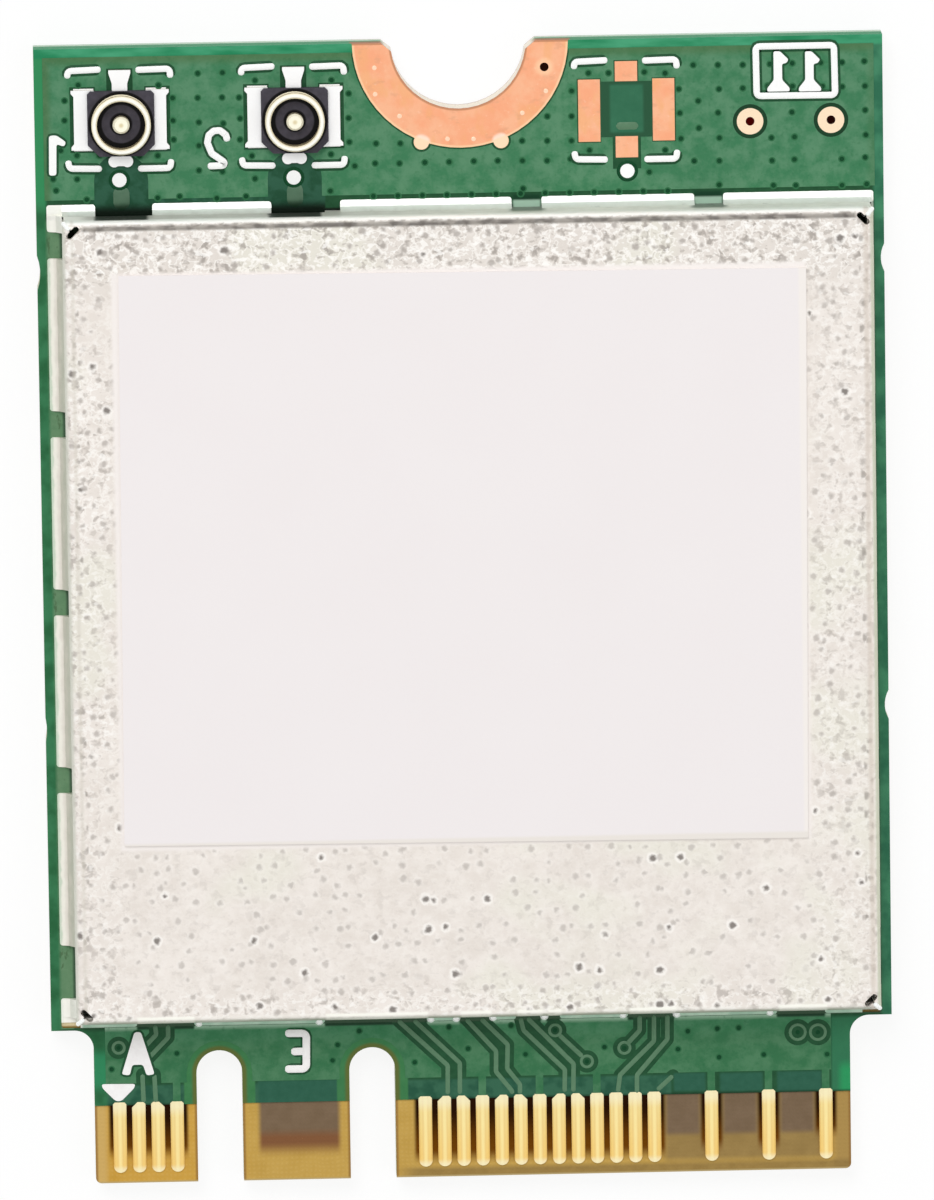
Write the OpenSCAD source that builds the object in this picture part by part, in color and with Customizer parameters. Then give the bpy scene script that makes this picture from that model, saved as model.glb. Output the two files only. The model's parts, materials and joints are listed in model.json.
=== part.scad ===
// Wireless network card for a keyed edge socket, with a soldered shield can and two antenna receptacles.
// Millimetres. The board lies flat, component side up, its edge contacts towards -Y.
// The origin is the centre of the board's outline on its underside.

/* [Board] */
// Width of the board
board_w = 22; // [21.6:0.1:26]
// Length of the board from its edge contacts to its screw end
board_l = 30; // [29:0.5:42]
// Finished thickness over both solder masks
board_t = 0.8; // [0.6:0.05:1.2]
// Thickness of a solder mask and of the copper in its openings
skin_t = 0.04; // [0.02:0.005:0.06]
// Width of the tongue that enters the socket
tongue_w = 19.8; // [19.5:0.05:20.5]
// Length of the tongue from the shoulders to its edge
tongue_l = 4.1; // [3.8:0.1:5]
// Radius of the inner corner at each shoulder
shoulder_r = 0.5; // [0.2:0.05:0.7]
// Radius of the tongue's outer corners
tongue_corner_r = 0.15; // [0.05:0.05:0.25]
// Depth of the deepest dimples left where the breakaway tabs were snapped off
bite_depth = 0.1; // [0.04:0.01:0.2]
// Radius of those dimples
bite_r = 0.8; // [0.5:0.05:1.2]

/* [Socket keys] */
// Width of each key notch
notch_w = 1.2; // [1:0.05:1.3]
// Depth of each key notch from the tongue's edge
notch_l = 3.5; // [3.2:0.1:3.8]
// Place of the first key notch along X
notch_a_x = -6.625; // [-6.7:0.025:-6.5]
// Place of the second key notch along X
notch_e_x = -2.625; // [-2.7:0.025:-2.5]

/* [Edge contacts] */
// Distance between neighbouring contacts on one face
contact_pitch = 0.5; // [0.49:0.0025:0.5]
// Width of a contact
contact_w = 0.35; // [0.25:0.01:0.38]
// Place of the first contact of the top face along X
contact_1_x = -9.25; // [-9.3:0.01:-9.2]
// Bare strip between a contact's tip and the tongue's edge
contact_tip_gap = 0.28; // [0.15:0.01:0.4]
// Distance of the solder mask from the tongue's edge
mask_edge_y = 2.08; // [1.8:0.01:2.6]
// Reach of a contact past the edge of the solder mask
contact_mask_lap = 0.08; // [0.05:0.01:0.12]

/* [Screw end] */
// Radius of the half round screw hole
hole_r = 1.75; // [1.5:0.05:2]
// Width of the bare copper ring around the hole
land_ring_w = 1.05; // [0.6:0.05:1.2]
// Shift of the ring's outer edge from the hole's middle, to the right
ring_shift_x = 0.05; // [0:0.01:0.1]
// Shift of the same edge towards the screw end
ring_shift_y = 0.03; // [0:0.01:0.1]
// Width of the chamfer at each side of the hole's mouth
mouth_chamfer = 0.25; // [0.1:0.05:0.4]
// Depth of the same chamfer
mouth_depth = 0.22; // [0.1:0.02:0.4]
// Radius of the lobes on the lower edge of the copper ring
land_lobe_r = 0.2; // [0.1:0.02:0.3]
// Radius of an open plated hole
via_r = 0.1; // [0.06:0.01:0.15]

/* [Shield can] */
// Strip of board between the can's lands and each side edge
side_strip = 0.27; // [0.2:0.01:1]
// Strip of board between the can's lands and the screw end, for the receptacles
end_strip = 4.08; // [4.05:0.005:6]
// Height of the can above the board
can_h = 1.35; // [1.3:0.05:1.8]
// Thickness of the can's sheet
sheet_t = 0.15; // [0.1:0.01:0.2]
// Outer radius of the can's bends
bend_r = 0.2; // [0.18:0.01:0.35]
// Half width of the relief slot across each corner of the sheet
relief_r = 0.08; // [0.06:0.01:0.1]
// Length of that slot between the middles of its round ends
relief_l = 0.24; // [0.1:0.01:0.3]
// Distance of the slot's middle from the can's walls
relief_in = 0.27; // [0.25:0.01:0.35]
// Width of the open seam between two walls
seam_w = 0.06; // [0.04:0.01:0.1]
// Height of the openings that let tracks under a wall
gate_h = 0.3; // [0.2:0.02:0.4]
// Shift of the can to the right of the middle of its lands
can_shift_x = 0.16; // [0:0.01:0.2]
// Shift of the can towards the screw end
can_shift_y = 0.02; // [0:0.01:0.15]
// Distance between the can's lands and the shoulders of the board
land_to_shoulder = 0.07; // [0.05:0.005:0.3]
// Margin of the side lands around a can that sits in their middle
land_margin_side = 0.23; // [0.21:0.01:0.36]
// Margin of the end lands around such a can
land_margin_end = 0.29; // [0.26:0.01:0.36]
// Radius of the corners of the lands
land_corner_r = 0.07; // [0.03:0.01:0.1]
// Reach of the lands inwards from the can's inner walls
land_inner = 0.1; // [0.05:0.01:0.2]
// Height of the solder fillets on the walls
solder_h = 0.3; // [0.15:0.01:0.4]

/* [Label] */
// Width of the blank label
label_w = 17.8; // [12:0.1:19]
// Length of the blank label
label_l = 15; // [10:0.1:17]
// Thickness of the label
label_t = 0.08; // [0.04:0.01:0.15]
// Place of the label from the can's middle along X
label_x = -0.22; // [-0.5:0.01:0.5]
// Place of the label from the can's middle along Y
label_y = 1.62; // [0:0.01:1.8]
// Turn of the label, in degrees
label_turn = -0.4; // [-0.6:0.1:0.6]

/* [Antenna receptacles] */
// Distance of the first receptacle from the left edge
receptacle_x = 2.22; // [2:0.01:3]
// Distance from the second receptacle's middle to the copper ring
receptacle_to_ring = 1.48; // [1.4:0.01:2]
// Distance of the middles of all three footprints from the screw end
receptacle_y = 1.865; // [1.8:0.005:1.95]
// Outer radius of a receptacle's collar
collar_r = 0.77; // [0.7:0.01:0.8]
// Wall of the collar
collar_wall = 0.14; // [0.1:0.01:0.16]
// Height of a receptacle above the board
receptacle_h = 0.6; // [0.55:0.01:0.8]
// Radius of the centre pin
pin_r = 0.22; // [0.15:0.01:0.25]
// Width of the insulator
insulator_w = 1.74; // [1.68:0.01:1.76]
// Length of the insulator
insulator_l = 1.7; // [1.66:0.01:1.8]
// Height of the insulator's base
insulator_h = 0.22; // [0.2:0.01:0.3]
// Thickness of the receptacle's metal
leaf_t = 0.1; // [0.06:0.01:0.12]
// Distance from the copper ring to the spare footprint's middle
spare_to_ring = 1.545; // [1.4:0.005:2]

/* [Test points] */
// Distance of the outer test point from the right edge
test_x = 1.35; // [1.2:0.01:1.6]
// Distance between the two test points
test_pitch = 2.1; // [1.5:0.05:2.5]
// Distance of the test points from the screw end
test_y = 2.22; // [2:0.01:2.6]
// Radius of a test point
test_r = 0.345; // [0.25:0.005:0.4]

/* [Parts under the can] */
// Side of the square radio chip
chip_side = 9; // [7:0.1:9.5]
// Height of the radio chip
chip_h = 0.85; // [0.6:0.05:1]
// Distance between the radio chip's terminals
chip_pitch = 0.5; // [0.4:0.05:0.65]
// Side of a square front end module
front_end_side = 3; // [2:0.1:3.2]
// Height of a front end module
front_end_h = 0.6; // [0.4:0.05:0.9]
// Length of the crystal
crystal_l = 2.5; // [2:0.1:3.2]
// Width of the crystal
crystal_w = 2; // [1.6:0.1:2.5]
// Height of the crystal
crystal_h = 0.55; // [0.4:0.05:0.8]
// Length of a power inductor
inductor_l = 2.5; // [2:0.1:2.6]
// Width of a power inductor
inductor_w = 2; // [1.6:0.1:2.4]
// Height of a power inductor
inductor_h = 1; // [0.8:0.05:1.05]
// Length of a diplexer
diplexer_l = 2; // [1.6:0.1:2.4]
// Width of a diplexer
diplexer_w = 1.25; // [0.8:0.05:1.4]
// Height of a diplexer
diplexer_h = 0.7; // [0.4:0.05:0.9]
// Length of the memory chip
memory_l = 3; // [2:0.1:3.2]
// Width of the memory chip
memory_w = 2; // [1.6:0.1:2.2]
// Height of the memory chip
memory_h = 0.55; // [0.4:0.05:0.8]
// Length of a small capacitor or resistor
passive_l = 1; // [0.6:0.05:1.1]
// Width of a small capacitor or resistor
passive_w = 0.5; // [0.3:0.02:0.55]
// Height of a small capacitor
capacitor_h = 0.5; // [0.3:0.02:0.6]
// Height of a small resistor
resistor_h = 0.35; // [0.25:0.01:0.4]

/* [Hidden] */

$fn = 64;
far = 100;

left_x = -board_w / 2;
right_x = board_w / 2;
top_y = board_l / 2;
edge_y = -board_l / 2;
shoulder_y = edge_y + tongue_l;
mask_y = edge_y + mask_edge_y;
core_z = skin_t;
core_t = board_t - 2 * skin_t;
face_z = board_t;
copper_z = board_t - skin_t;

top_pins = [1, 3, 5, 7, for (p = [33 : 2 : 57]) p, 63, 69, 75];
bottom_pins = [2, 4, 6, for (p = [16 : 2 : 22]) p, for (p = [32 : 2 : 74]) p];
left_of_pair = [3, 35, 41, 47];
right_of_pair = [5, 37, 43, 49];

land_w = board_w - 2 * side_strip;
land_l = board_l - tongue_l - land_to_shoulder - end_strip;
land_y = shoulder_y + land_to_shoulder + land_l / 2;
can_w = land_w - 2 * land_margin_side;
can_l = land_l - 2 * land_margin_end;
ring_r = hole_r + land_ring_w;
ring_at = [ring_shift_x, top_y + ring_shift_y];
can_x = can_shift_x;
can_y = land_y + can_shift_y;
can_top_z = face_z + can_h;
inner_w = can_w - 2 * sheet_t;
inner_l = can_l - 2 * sheet_t;

receptacle_1 = [left_x + receptacle_x, top_y - receptacle_y];
receptacle_2 = [-ring_r - receptacle_to_ring, top_y - receptacle_y];
spare = [ring_r + spare_to_ring, top_y - receptacle_y];
tests = [[right_x - test_x, top_y - test_y], [right_x - test_x - test_pitch, top_y - test_y]];

// Each gap in the can's lands is its middle and its width
side_gap_pitch = 4.7;
side_gap_w = 0.69;
side_gap_in = 1.045;
side_gaps_up = 3;
low_gap_in = 1.505;
low_gap_w = 1.41;
side_gaps = [[low_gap_in - land_l / 2, low_gap_w],
    for (k = [-side_gaps_up : 0]) [land_l / 2 - side_gap_in + k * side_gap_pitch, side_gap_w]];
gate_1 = [0.05, 1.48];
gate_2 = [0.07, 1.39];
open_gap_2 = [0.27, 1.79];
spare_gap_left = [-2.625, 0.78];
spare_gap_right = [2.105, 0.75];
top_gates = [gate_by(receptacle_1, gate_1), gate_by(receptacle_2, gate_2)];
top_gaps = [top_gates[0], gate_by(receptacle_2, open_gap_2), gate_by(spare, spare_gap_left),
    gate_by(spare, spare_gap_right)];

// Gaps towards the tongue, from the first contact, where tracks leave the can
track_gaps = [[1.24, 1.49], [6.74, 2.67], [9.33, 0.79], [10.73, 0.65], [11.38, 0.35], [13.94, 1.21],
    [17.87, 1.26]];
bottom_gaps = [for (g = track_gaps) [contact_1_x + g[0], g[1]]];

// Lobes and the open via of the copper ring
lobe_angle = 21.4;
lobe_out = 0.03;
via_angle = 17.4;
via_out = 0.585;

// Each dimple: side, distance from the lands' middle, and its depth and radius as shares of the deepest one's
bites = [[1, 9.1, 0.9, 1], [1, -2.7, 1, 1], [-1, 9.1, 0.8, 1.7], [-1, -2.95, 0.35, 2]];

// Receptacle sizes, from the middle of its footprint
pin_shift = [0.02, -0.09];
side_tab_out = 1.27;
side_tab_waist = 1.2;
side_tab_half_l = 0.78;
side_flare_l = 0.16;
top_tab_reach = 1.3;
top_tab_w = 0.57;
top_neck_w = 0.4;
signal_reach = 1.24;
signal_w = 0.64;
signal_l = 0.3;
signal_neck_w = 0.3;
signal_gap = 0.1;
pad_side_in = 0.68;
pad_side_out = 1.25;
pad_side_half_l = 0.815;
pad_top_in = 0.755;
pad_top_out = 1.28;
pad_signal_in = 0.685;
pad_end_w = 0.58;
insulator_cut = 0.3;
insulator_nick = 0.08;

// Bare laminate at the lower corners of the can's lands
corner_bare_w = 0.5;
corner_bare_l = 0.15;

// Places of the parts under the can, from its middle or inwards from its inner walls
wall_x = inner_w / 2;
wall_y = inner_l / 2;
part_gap = 0.7;
near_wall = 0.9;
chip_x = 0.6;
chip_y = -2.2;
passive_pitch = 1.6;
resistor_pitch = 0.9;
row_y = wall_y - near_wall - diplexer_l / 2;
front_end_y = row_y - diplexer_l / 2 - part_gap - front_end_side / 2;
chain_1_x = near_wall + front_end_side / 2 - wall_x;
chain_2_x = chain_1_x + front_end_side + 3 * part_gap;
right_column_x = wall_x - near_wall - inductor_l / 2;
chip_at = [chip_x, chip_y];
front_ends_at = [[chain_1_x, front_end_y], [chain_2_x, front_end_y]];
diplexers_at = [[chain_1_x, row_y], [chain_2_x, row_y]];
crystal_at = [2 * near_wall + crystal_l / 2 - wall_x, chip_y];
inductors_at = [for (s = [-1, 1]) [right_column_x, chip_y + s * (inductor_w / 2 + part_gap / 2)]];
memory_at = [wall_x - near_wall - memory_l / 2, row_y - near_wall - memory_w];
capacitors_at = [for (k = [0 : 7]) [(k - 4.5) * passive_pitch, near_wall + passive_l / 2 - wall_y],
    for (k = [0 : 2]) [chip_x + (k + 1) * passive_pitch, chip_y + chip_side / 2 + part_gap + passive_l]];
resistors_at = [for (k = [0 : 4]) [chip_x + k * passive_pitch, row_y],
    for (k = [1 : 3]) [near_wall + passive_l - wall_x, crystal_at[1] - crystal_w - k * resistor_pitch]];

terminal_w = 0.24;
terminal_l = 0.4;
terminal_t = 0.15;
chip_rows = floor((chip_side - 1.2) / chip_pitch);
thermal_side = chip_side * 0.6;
mark_r = 0.25;
mark_depth = 0.05;
end_cap = 0.25;
lip = 0.015;

function pin_x(p) = contact_1_x + (p - 1) * contact_pitch / 2;
function gate_by(middle, g) = [middle[0] + g[0], g[1]];
function gap_from(g) = g[0] - g[1] / 2;
function gap_to(g) = g[0] + g[1] / 2;
function run_starts(lo, gaps) = [lo, for (g = gaps) gap_to(g)];
function run_ends(hi, gaps) = [for (g = gaps) gap_from(g), hi];

module sheet(z, t) {
    translate([0, 0, z]) linear_extrude(t) children();
}

// Everything past one line across the board
module beyond(y) {
    translate([-far, y]) square([2 * far, 2 * far]);
}

// Board outline

module notch(x) {
    translate([x - notch_w / 2, edge_y - 1]) square([notch_w, notch_l - notch_w / 2 + 1]);
    translate([x, edge_y + notch_l - notch_w / 2]) circle(notch_w / 2);
}

module screw_notch() {
    fall = sqrt(hole_r * hole_r - mouth_depth * mouth_depth);
    mouth = hole_r + mouth_chamfer;
    translate([0, top_y]) {
        circle(hole_r);
        polygon([[-mouth, 0], [-mouth, 1], [mouth, 1], [mouth, 0], [fall, -mouth_depth], [-fall, -mouth_depth]]);
    }
}

module shoulder_fillet() {
    difference() {
        translate([tongue_w / 2 - 0.1, shoulder_y - shoulder_r]) square([shoulder_r + 0.1, shoulder_r + 0.1]);
        translate([tongue_w / 2 + shoulder_r, shoulder_y - shoulder_r]) circle(shoulder_r);
        translate([tongue_w / 2 + shoulder_r, shoulder_y - shoulder_r]) square(shoulder_r);
    }
}

module tongue_corner() {
    translate([tongue_w / 2 - tongue_corner_r, edge_y]) difference() {
        translate([0, -1]) square([tongue_corner_r + 1, tongue_corner_r + 1]);
        translate([0, tongue_corner_r]) circle(tongue_corner_r);
    }
}

// A shallow dimple in a side edge
module bite(b) {
    depth = bite_depth * b[2];
    r = bite_r * b[3];
    translate([b[0] * (board_w / 2 + r - depth), land_y + b[1]]) circle(r, $fn = 160);
}

module board_outline() {
    difference() {
        union() {
            translate([left_x, shoulder_y]) square([board_w, top_y - shoulder_y]);
            translate([-tongue_w / 2, edge_y]) square([tongue_w, tongue_l + 0.1]);
            shoulder_fillet();
            mirror([1, 0]) shoulder_fillet();
        }
        notch(notch_a_x);
        notch(notch_e_x);
        screw_notch();
        tongue_corner();
        mirror([1, 0]) tongue_corner();
        for (b = bites) bite(b);
    }
}

// Copper on the faces

module contact(p) {
    half = contact_w / 2;
    base_y = edge_y + contact_tip_gap + half;
    head_y = mask_y + contact_mask_lap;
    cut = 0.14;
    left_cut = len(search(p, left_of_pair)) > 0 ? cut : 0.05;
    right_cut = len(search(p, right_of_pair)) > 0 ? cut : 0.05;
    translate([pin_x(p), 0]) {
        translate([0, base_y]) circle(half);
        polygon([[-half, base_y], [half, base_y], [half, head_y - right_cut], [half - right_cut, head_y],
            [-half + left_cut, head_y], [-half, head_y - left_cut]]);
    }
}

module contact_under(p) {
    half = contact_w / 2;
    base_y = edge_y + contact_tip_gap + half;
    translate([pin_x(p), base_y]) circle(half);
    translate([pin_x(p) - half, base_y]) square([contact_w, mask_y + contact_mask_lap - base_y]);
}

module screw_land(lobes) {
    difference() {
        intersection() {
            union() {
                translate(ring_at) circle(ring_r);
                if (lobes) ring_lobes();
            }
            board_outline();
        }
        land_via();
    }
}

module ring_lobes() {
    for (s = [-1, 1]) translate(ring_at) rotate(s * lobe_angle) translate([0, -ring_r - lobe_out])
        circle(land_lobe_r);
}

module land_via() {
    translate([0, top_y]) rotate(-via_angle) translate([hole_r + via_out, 0]) circle(via_r);
}

module pad(x0, y0, x1, y1) {
    translate([x0, y0]) square([x1 - x0, y1 - y0]);
}

// Lands under a fitted receptacle, no wider than its tabs
module fitted_footprint() {
    for (s = [0, 1]) mirror([s, 0])
        pad(pad_side_in, -pad_side_half_l, side_tab_waist, pad_side_half_l);
    top_tab(pad_top_in);
    signal_tab();
}

module receptacle_lands_plan() {
    translate(receptacle_1) fitted_footprint();
    translate(receptacle_2) fitted_footprint();
}

module spare_lands_plan() {
    translate(spare) {
        for (s = [0, 1]) mirror([s, 0])
            pad(pad_side_in, -pad_side_half_l, pad_side_out, pad_side_half_l);
        pad(-pad_end_w / 2, pad_top_in, pad_end_w / 2, pad_top_out);
        pad(-pad_end_w / 2, -signal_reach, pad_end_w / 2, -pad_signal_in);
    }
}

module test_points_plan() {
    for (t = tests) translate(t) difference() {
        circle(test_r);
        circle(via_r);
    }
}

// Bands across the can's lands where they are interrupted
module land_gaps() {
    reach = 2;
    for (g = side_gaps) for (s = [-1, 1])
        translate([s * land_w / 2 - reach, gap_from(g)]) square([2 * reach, g[1]]);
    for (g = top_gaps) translate([gap_from(g), land_l / 2 - reach]) square([g[1], 2 * reach]);
    for (g = bottom_gaps) translate([gap_from(g), -land_l / 2 - reach]) square([g[1], 2 * reach]);
}

module shield_lands_plan() {
    translate([0, land_y]) offset(r = land_corner_r) offset(delta = -land_corner_r) difference() {
        square([land_w, land_l], center = true);
        translate([can_shift_x, can_shift_y])
            square([inner_w - 2 * land_inner, inner_l - 2 * land_inner], center = true);
        land_gaps();
    }
}

// The same without the metal at the two lower corners, where the mask is open over bare laminate
module tinned_lands_plan() {
    difference() {
        shield_lands_plan();
        for (s = [-1, 1]) translate([s * land_w / 2, land_y - land_l / 2])
            square([2 * corner_bare_w, 2 * corner_bare_l], center = true);
    }
}

module end_pads(at, l, w, turn) {
    translate([can_x, can_y] + at) rotate(turn) for (s = [-1, 1])
        translate([s * (l / 2 - end_cap / 2), 0]) square([end_cap + 0.1, w], center = true);
}

module row_pads(side, pitch, count) {
    for (a = [0 : 90 : 270]) rotate(a) for (k = [0 : count - 1])
        translate([(k - (count - 1) / 2) * pitch, side / 2 - terminal_l / 2])
            square([terminal_w, terminal_l], center = true);
}

module component_lands_plan() {
    translate([can_x, can_y] + chip_at) {
        row_pads(chip_side, chip_pitch, chip_rows);
        square(thermal_side, center = true);
    }
    for (f = front_ends_at) translate([can_x, can_y] + f) {
        row_pads(front_end_side, 0.5, 3);
        square(front_end_side * 0.5, center = true);
    }
    for (d = diplexers_at) end_pads(d, diplexer_l, diplexer_w, 90);
    for (i = inductors_at) end_pads(i, inductor_l, inductor_w, 0);
    for (c = capacitors_at) end_pads(c, passive_l, passive_w, 90);
    for (r = resistors_at) end_pads(r, passive_l, passive_w, 0);
    end_pads(memory_at, memory_l, memory_w, 0);
    end_pads(crystal_at, crystal_l, crystal_w, 0);
}

// Board and its skins

module board() {
    color([0.77, 0.62, 0.33]) difference() {
        sheet(core_z, core_t) board_outline();
        for (t = tests) translate([t[0], t[1], 0]) cylinder(r = via_r, h = board_t);
        linear_extrude(board_t) land_via();
    }
}

module solder_mask_top() {
    color([0.18, 0.5, 0.33]) sheet(copper_z, skin_t) difference() {
        intersection() {
            board_outline();
            beyond(mask_y);
        }
        for (p = top_pins) contact(p);
        translate(ring_at) circle(ring_r);
        ring_lobes();
        shield_lands_plan();
        receptacle_lands_plan();
        spare_lands_plan();
        for (t = tests) translate(t) circle(test_r);
        component_lands_plan();
    }
}

module solder_mask_bottom() {
    color([0.18, 0.5, 0.33]) linear_extrude(skin_t) difference() {
        intersection() {
            board_outline();
            beyond(mask_y);
        }
        for (p = bottom_pins) contact_under(p);
        translate(ring_at) circle(ring_r);
    }
}

module contacts_top() {
    color([0.95, 0.8, 0.45]) sheet(copper_z, skin_t) for (p = top_pins) contact(p);
}

module contacts_bottom() {
    color([0.95, 0.8, 0.45]) linear_extrude(skin_t) for (p = bottom_pins) contact_under(p);
}

module screw_land_top() {
    color([0.95, 0.65, 0.48]) sheet(copper_z, skin_t) screw_land(true);
}

module screw_land_bottom() {
    color([0.95, 0.65, 0.48]) linear_extrude(skin_t) screw_land(false);
}

module receptacle_lands() {
    color([0.85, 0.85, 0.85]) sheet(copper_z, skin_t) receptacle_lands_plan();
}

module spare_lands() {
    color([0.95, 0.65, 0.48]) sheet(copper_z, skin_t) spare_lands_plan();
}

module test_points() {
    color([0.98, 0.8, 0.65]) sheet(copper_z, skin_t) test_points_plan();
}

module component_lands() {
    color([0.85, 0.85, 0.85]) sheet(copper_z, skin_t) component_lands_plan();
}

module shield_lands() {
    color([0.85, 0.85, 0.82]) sheet(copper_z, skin_t) tinned_lands_plan();
}

// Shield can

// A wall, its bend and the top sheet in section
module arch(w, h, r) {
    translate([-w / 2, 0]) square([w, h - r]);
    translate([-w / 2 + r, 0]) square([w - 2 * r, h]);
    for (s = [-1, 1]) translate([s * (w / 2 - r), h - r]) circle(r);
}

module can_form(w, l, h, r) {
    intersection() {
        rotate([90, 0, 0]) linear_extrude(l, center = true) arch(w, h, r);
        rotate([90, 0, 90]) linear_extrude(w, center = true) arch(l, h, r);
    }
}

module gate(g, y) {
    translate([gap_from(g) - can_shift_x, y - 1, -1]) cube([g[1], 2, gate_h + 1]);
}

module corner_relief() {
    translate([can_w / 2 - relief_in, can_l / 2 - relief_in, 0]) rotate(45) {
        translate([0, 0, can_h - bend_r - sheet_t]) linear_extrude(1) hull()
            for (s = [-1, 1]) translate([0, s * relief_l / 2]) circle(relief_r, $fn = 32);
        translate([0, -seam_w / 2, -1]) cube([1, seam_w, can_h + 2]);
    }
}

module shield_can() {
    color([0.93, 0.92, 0.89]) translate([can_x, can_y, face_z]) difference() {
        can_form(can_w, can_l, can_h, bend_r);
        translate([0, 0, -1]) can_form(inner_w, inner_l, can_h - sheet_t + 1, bend_r - sheet_t);
        for (mx = [0, 1]) for (my = [0, 1]) mirror([mx, 0]) mirror([0, my]) corner_relief();
        for (g = top_gates) gate(g, can_l / 2);
        for (g = bottom_gaps) gate(g, -can_l / 2);
    }
}

// A fillet of solder along X, against a wall face at y = 0
module fillet(x0, x1, reach) {
    translate([x0, 0, 0]) rotate([90, 0, 90]) linear_extrude(x1 - x0)
        polygon([[0, 0], [reach, 0], [reach * 0.4, solder_h * 0.3], [0, solder_h]]);
}

module fillet_row(lo, hi, gaps, reach) {
    starts = run_starts(lo, gaps);
    ends = run_ends(hi, gaps);
    for (k = [0 : len(starts) - 1]) fillet(starts[k], ends[k], reach);
}

module shield_solder() {
    half_w = can_w / 2;
    half_l = can_l / 2;
    reach_top = land_margin_end - can_shift_y;
    reach_bottom = land_margin_end + can_shift_y;
    reach_left = land_margin_side + can_shift_x;
    reach_right = land_margin_side - can_shift_x;
    color([0.88, 0.88, 0.86]) intersection() {
        sheet(face_z, 1) tinned_lands_plan();
        translate([0, land_y, face_z]) {
            translate([0, can_shift_y + half_l, 0])
                fillet_row(can_shift_x - half_w, can_shift_x + half_w, top_gaps, reach_top);
            translate([0, can_shift_y - half_l, 0]) mirror([0, 1, 0])
                fillet_row(can_shift_x - half_w, can_shift_x + half_w, bottom_gaps, reach_bottom);
            translate([can_shift_x - half_w, 0, 0]) rotate(90)
                fillet_row(can_shift_y - half_l, can_shift_y + half_l, side_gaps, reach_left);
            translate([can_shift_x + half_w, 0, 0]) mirror([1, 0, 0]) rotate(90)
                fillet_row(can_shift_y - half_l, can_shift_y + half_l, side_gaps, reach_right);
        }
    }
}

module label() {
    color([0.95, 0.93, 0.94]) translate([can_x + label_x, can_y + label_y, can_top_z]) rotate(label_turn)
        translate([-label_w / 2, -label_l / 2, 0]) cube([label_w, label_l, label_t]);
}

// Antenna receptacles, drawn around the pin with the board's face at z = 0

// Flared at both ends
module side_tab() {
    end = side_tab_half_l;
    inner = insulator_w / 2 - 0.2;
    polygon([[inner, -end], [side_tab_out, -end], [side_tab_out, -end + side_flare_l / 2],
        [side_tab_waist, -end + side_flare_l], [side_tab_waist, end - side_flare_l],
        [side_tab_out, end - side_flare_l / 2], [side_tab_out, end], [inner, end]]);
}

// The tab away from the signal, from that distance outwards
module top_tab(from_y) {
    flare_y = (from_y + top_tab_reach) / 2;
    polygon([[-top_neck_w / 2, from_y], [top_neck_w / 2, from_y], [top_neck_w / 2, flare_y],
        [top_tab_w / 2, top_tab_reach - 0.08], [top_tab_w / 2, top_tab_reach], [-top_tab_w / 2, top_tab_reach],
        [-top_tab_w / 2, top_tab_reach - 0.08], [-top_neck_w / 2, flare_y]]);
}

// The signal tab: two round lobes and the metal between them
module signal_tab() {
    lobe = signal_l / 2;
    middle_y = lobe - signal_reach;
    for (s = [-1, 1]) translate([s * (signal_w / 2 - lobe), middle_y]) circle(lobe);
    translate([0, middle_y]) square([signal_w - signal_l, signal_l * 0.8], center = true);
}

module shell_leaf() {
    difference() {
        union() {
            translate(-pin_shift) {
                side_tab();
                mirror([1, 0]) side_tab();
                top_tab(0.6);
            }
            translate([-top_neck_w / 2, 0]) square([top_neck_w, 0.8]);
            circle(collar_r + 0.05);
        }
        circle(pin_r + signal_gap);
        translate([-signal_neck_w / 2 - signal_gap, -far]) square([signal_neck_w + 2 * signal_gap, far]);
    }
}

// The collar: a tube with a snap groove below its rounded rim
module collar() {
    groove = 0.04;
    rim = 0.04;
    inner = collar_r - collar_wall;
    groove_top = receptacle_h * 0.7;
    rotate_extrude() polygon([[inner, leaf_t / 2], [collar_r, leaf_t / 2], [collar_r, insulator_h],
        [collar_r - groove, insulator_h + groove], [collar_r - groove, groove_top - groove],
        [collar_r, groove_top], [collar_r, receptacle_h - rim], [collar_r - rim, receptacle_h],
        [inner + rim, receptacle_h], [inner, receptacle_h - rim]]);
}

module receptacle_shell() {
    tunnel = signal_neck_w + 2 * signal_gap;
    difference() {
        union() {
            linear_extrude(leaf_t) shell_leaf();
            collar();
        }
        translate([-tunnel / 2, -far, -1]) cube([tunnel, far, leaf_t + signal_gap + 1]);
    }
}

module receptacle_pin() {
    rim = 0.05;
    rotate_extrude() polygon([[0, 0], [pin_r, 0], [pin_r, receptacle_h - 0.08 - rim],
        [pin_r - rim, receptacle_h - 0.08], [0, receptacle_h - 0.08]]);
    linear_extrude(leaf_t) {
        translate([-signal_neck_w / 2, -insulator_l / 2 - 0.1]) square([signal_neck_w, insulator_l / 2 + 0.1]);
        translate(-pin_shift) signal_tab();
    }
}

module insulator_plan() {
    w = insulator_w / 2;
    l = insulator_l / 2;
    polygon([[-w, -l + insulator_cut], [-w + insulator_cut, -l], [w - insulator_cut, -l],
        [w, -l + insulator_cut], [w, l - insulator_nick], [w - insulator_nick, l],
        [insulator_nick - w, l], [-w, l - insulator_nick]]);
}

module receptacle_insulator() {
    difference() {
        linear_extrude(insulator_h) insulator_plan();
        receptacle_shell();
        receptacle_pin();
    }
}

module at_receptacle(at) {
    translate([at[0] + pin_shift[0], at[1] + pin_shift[1], face_z]) children();
}

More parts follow.
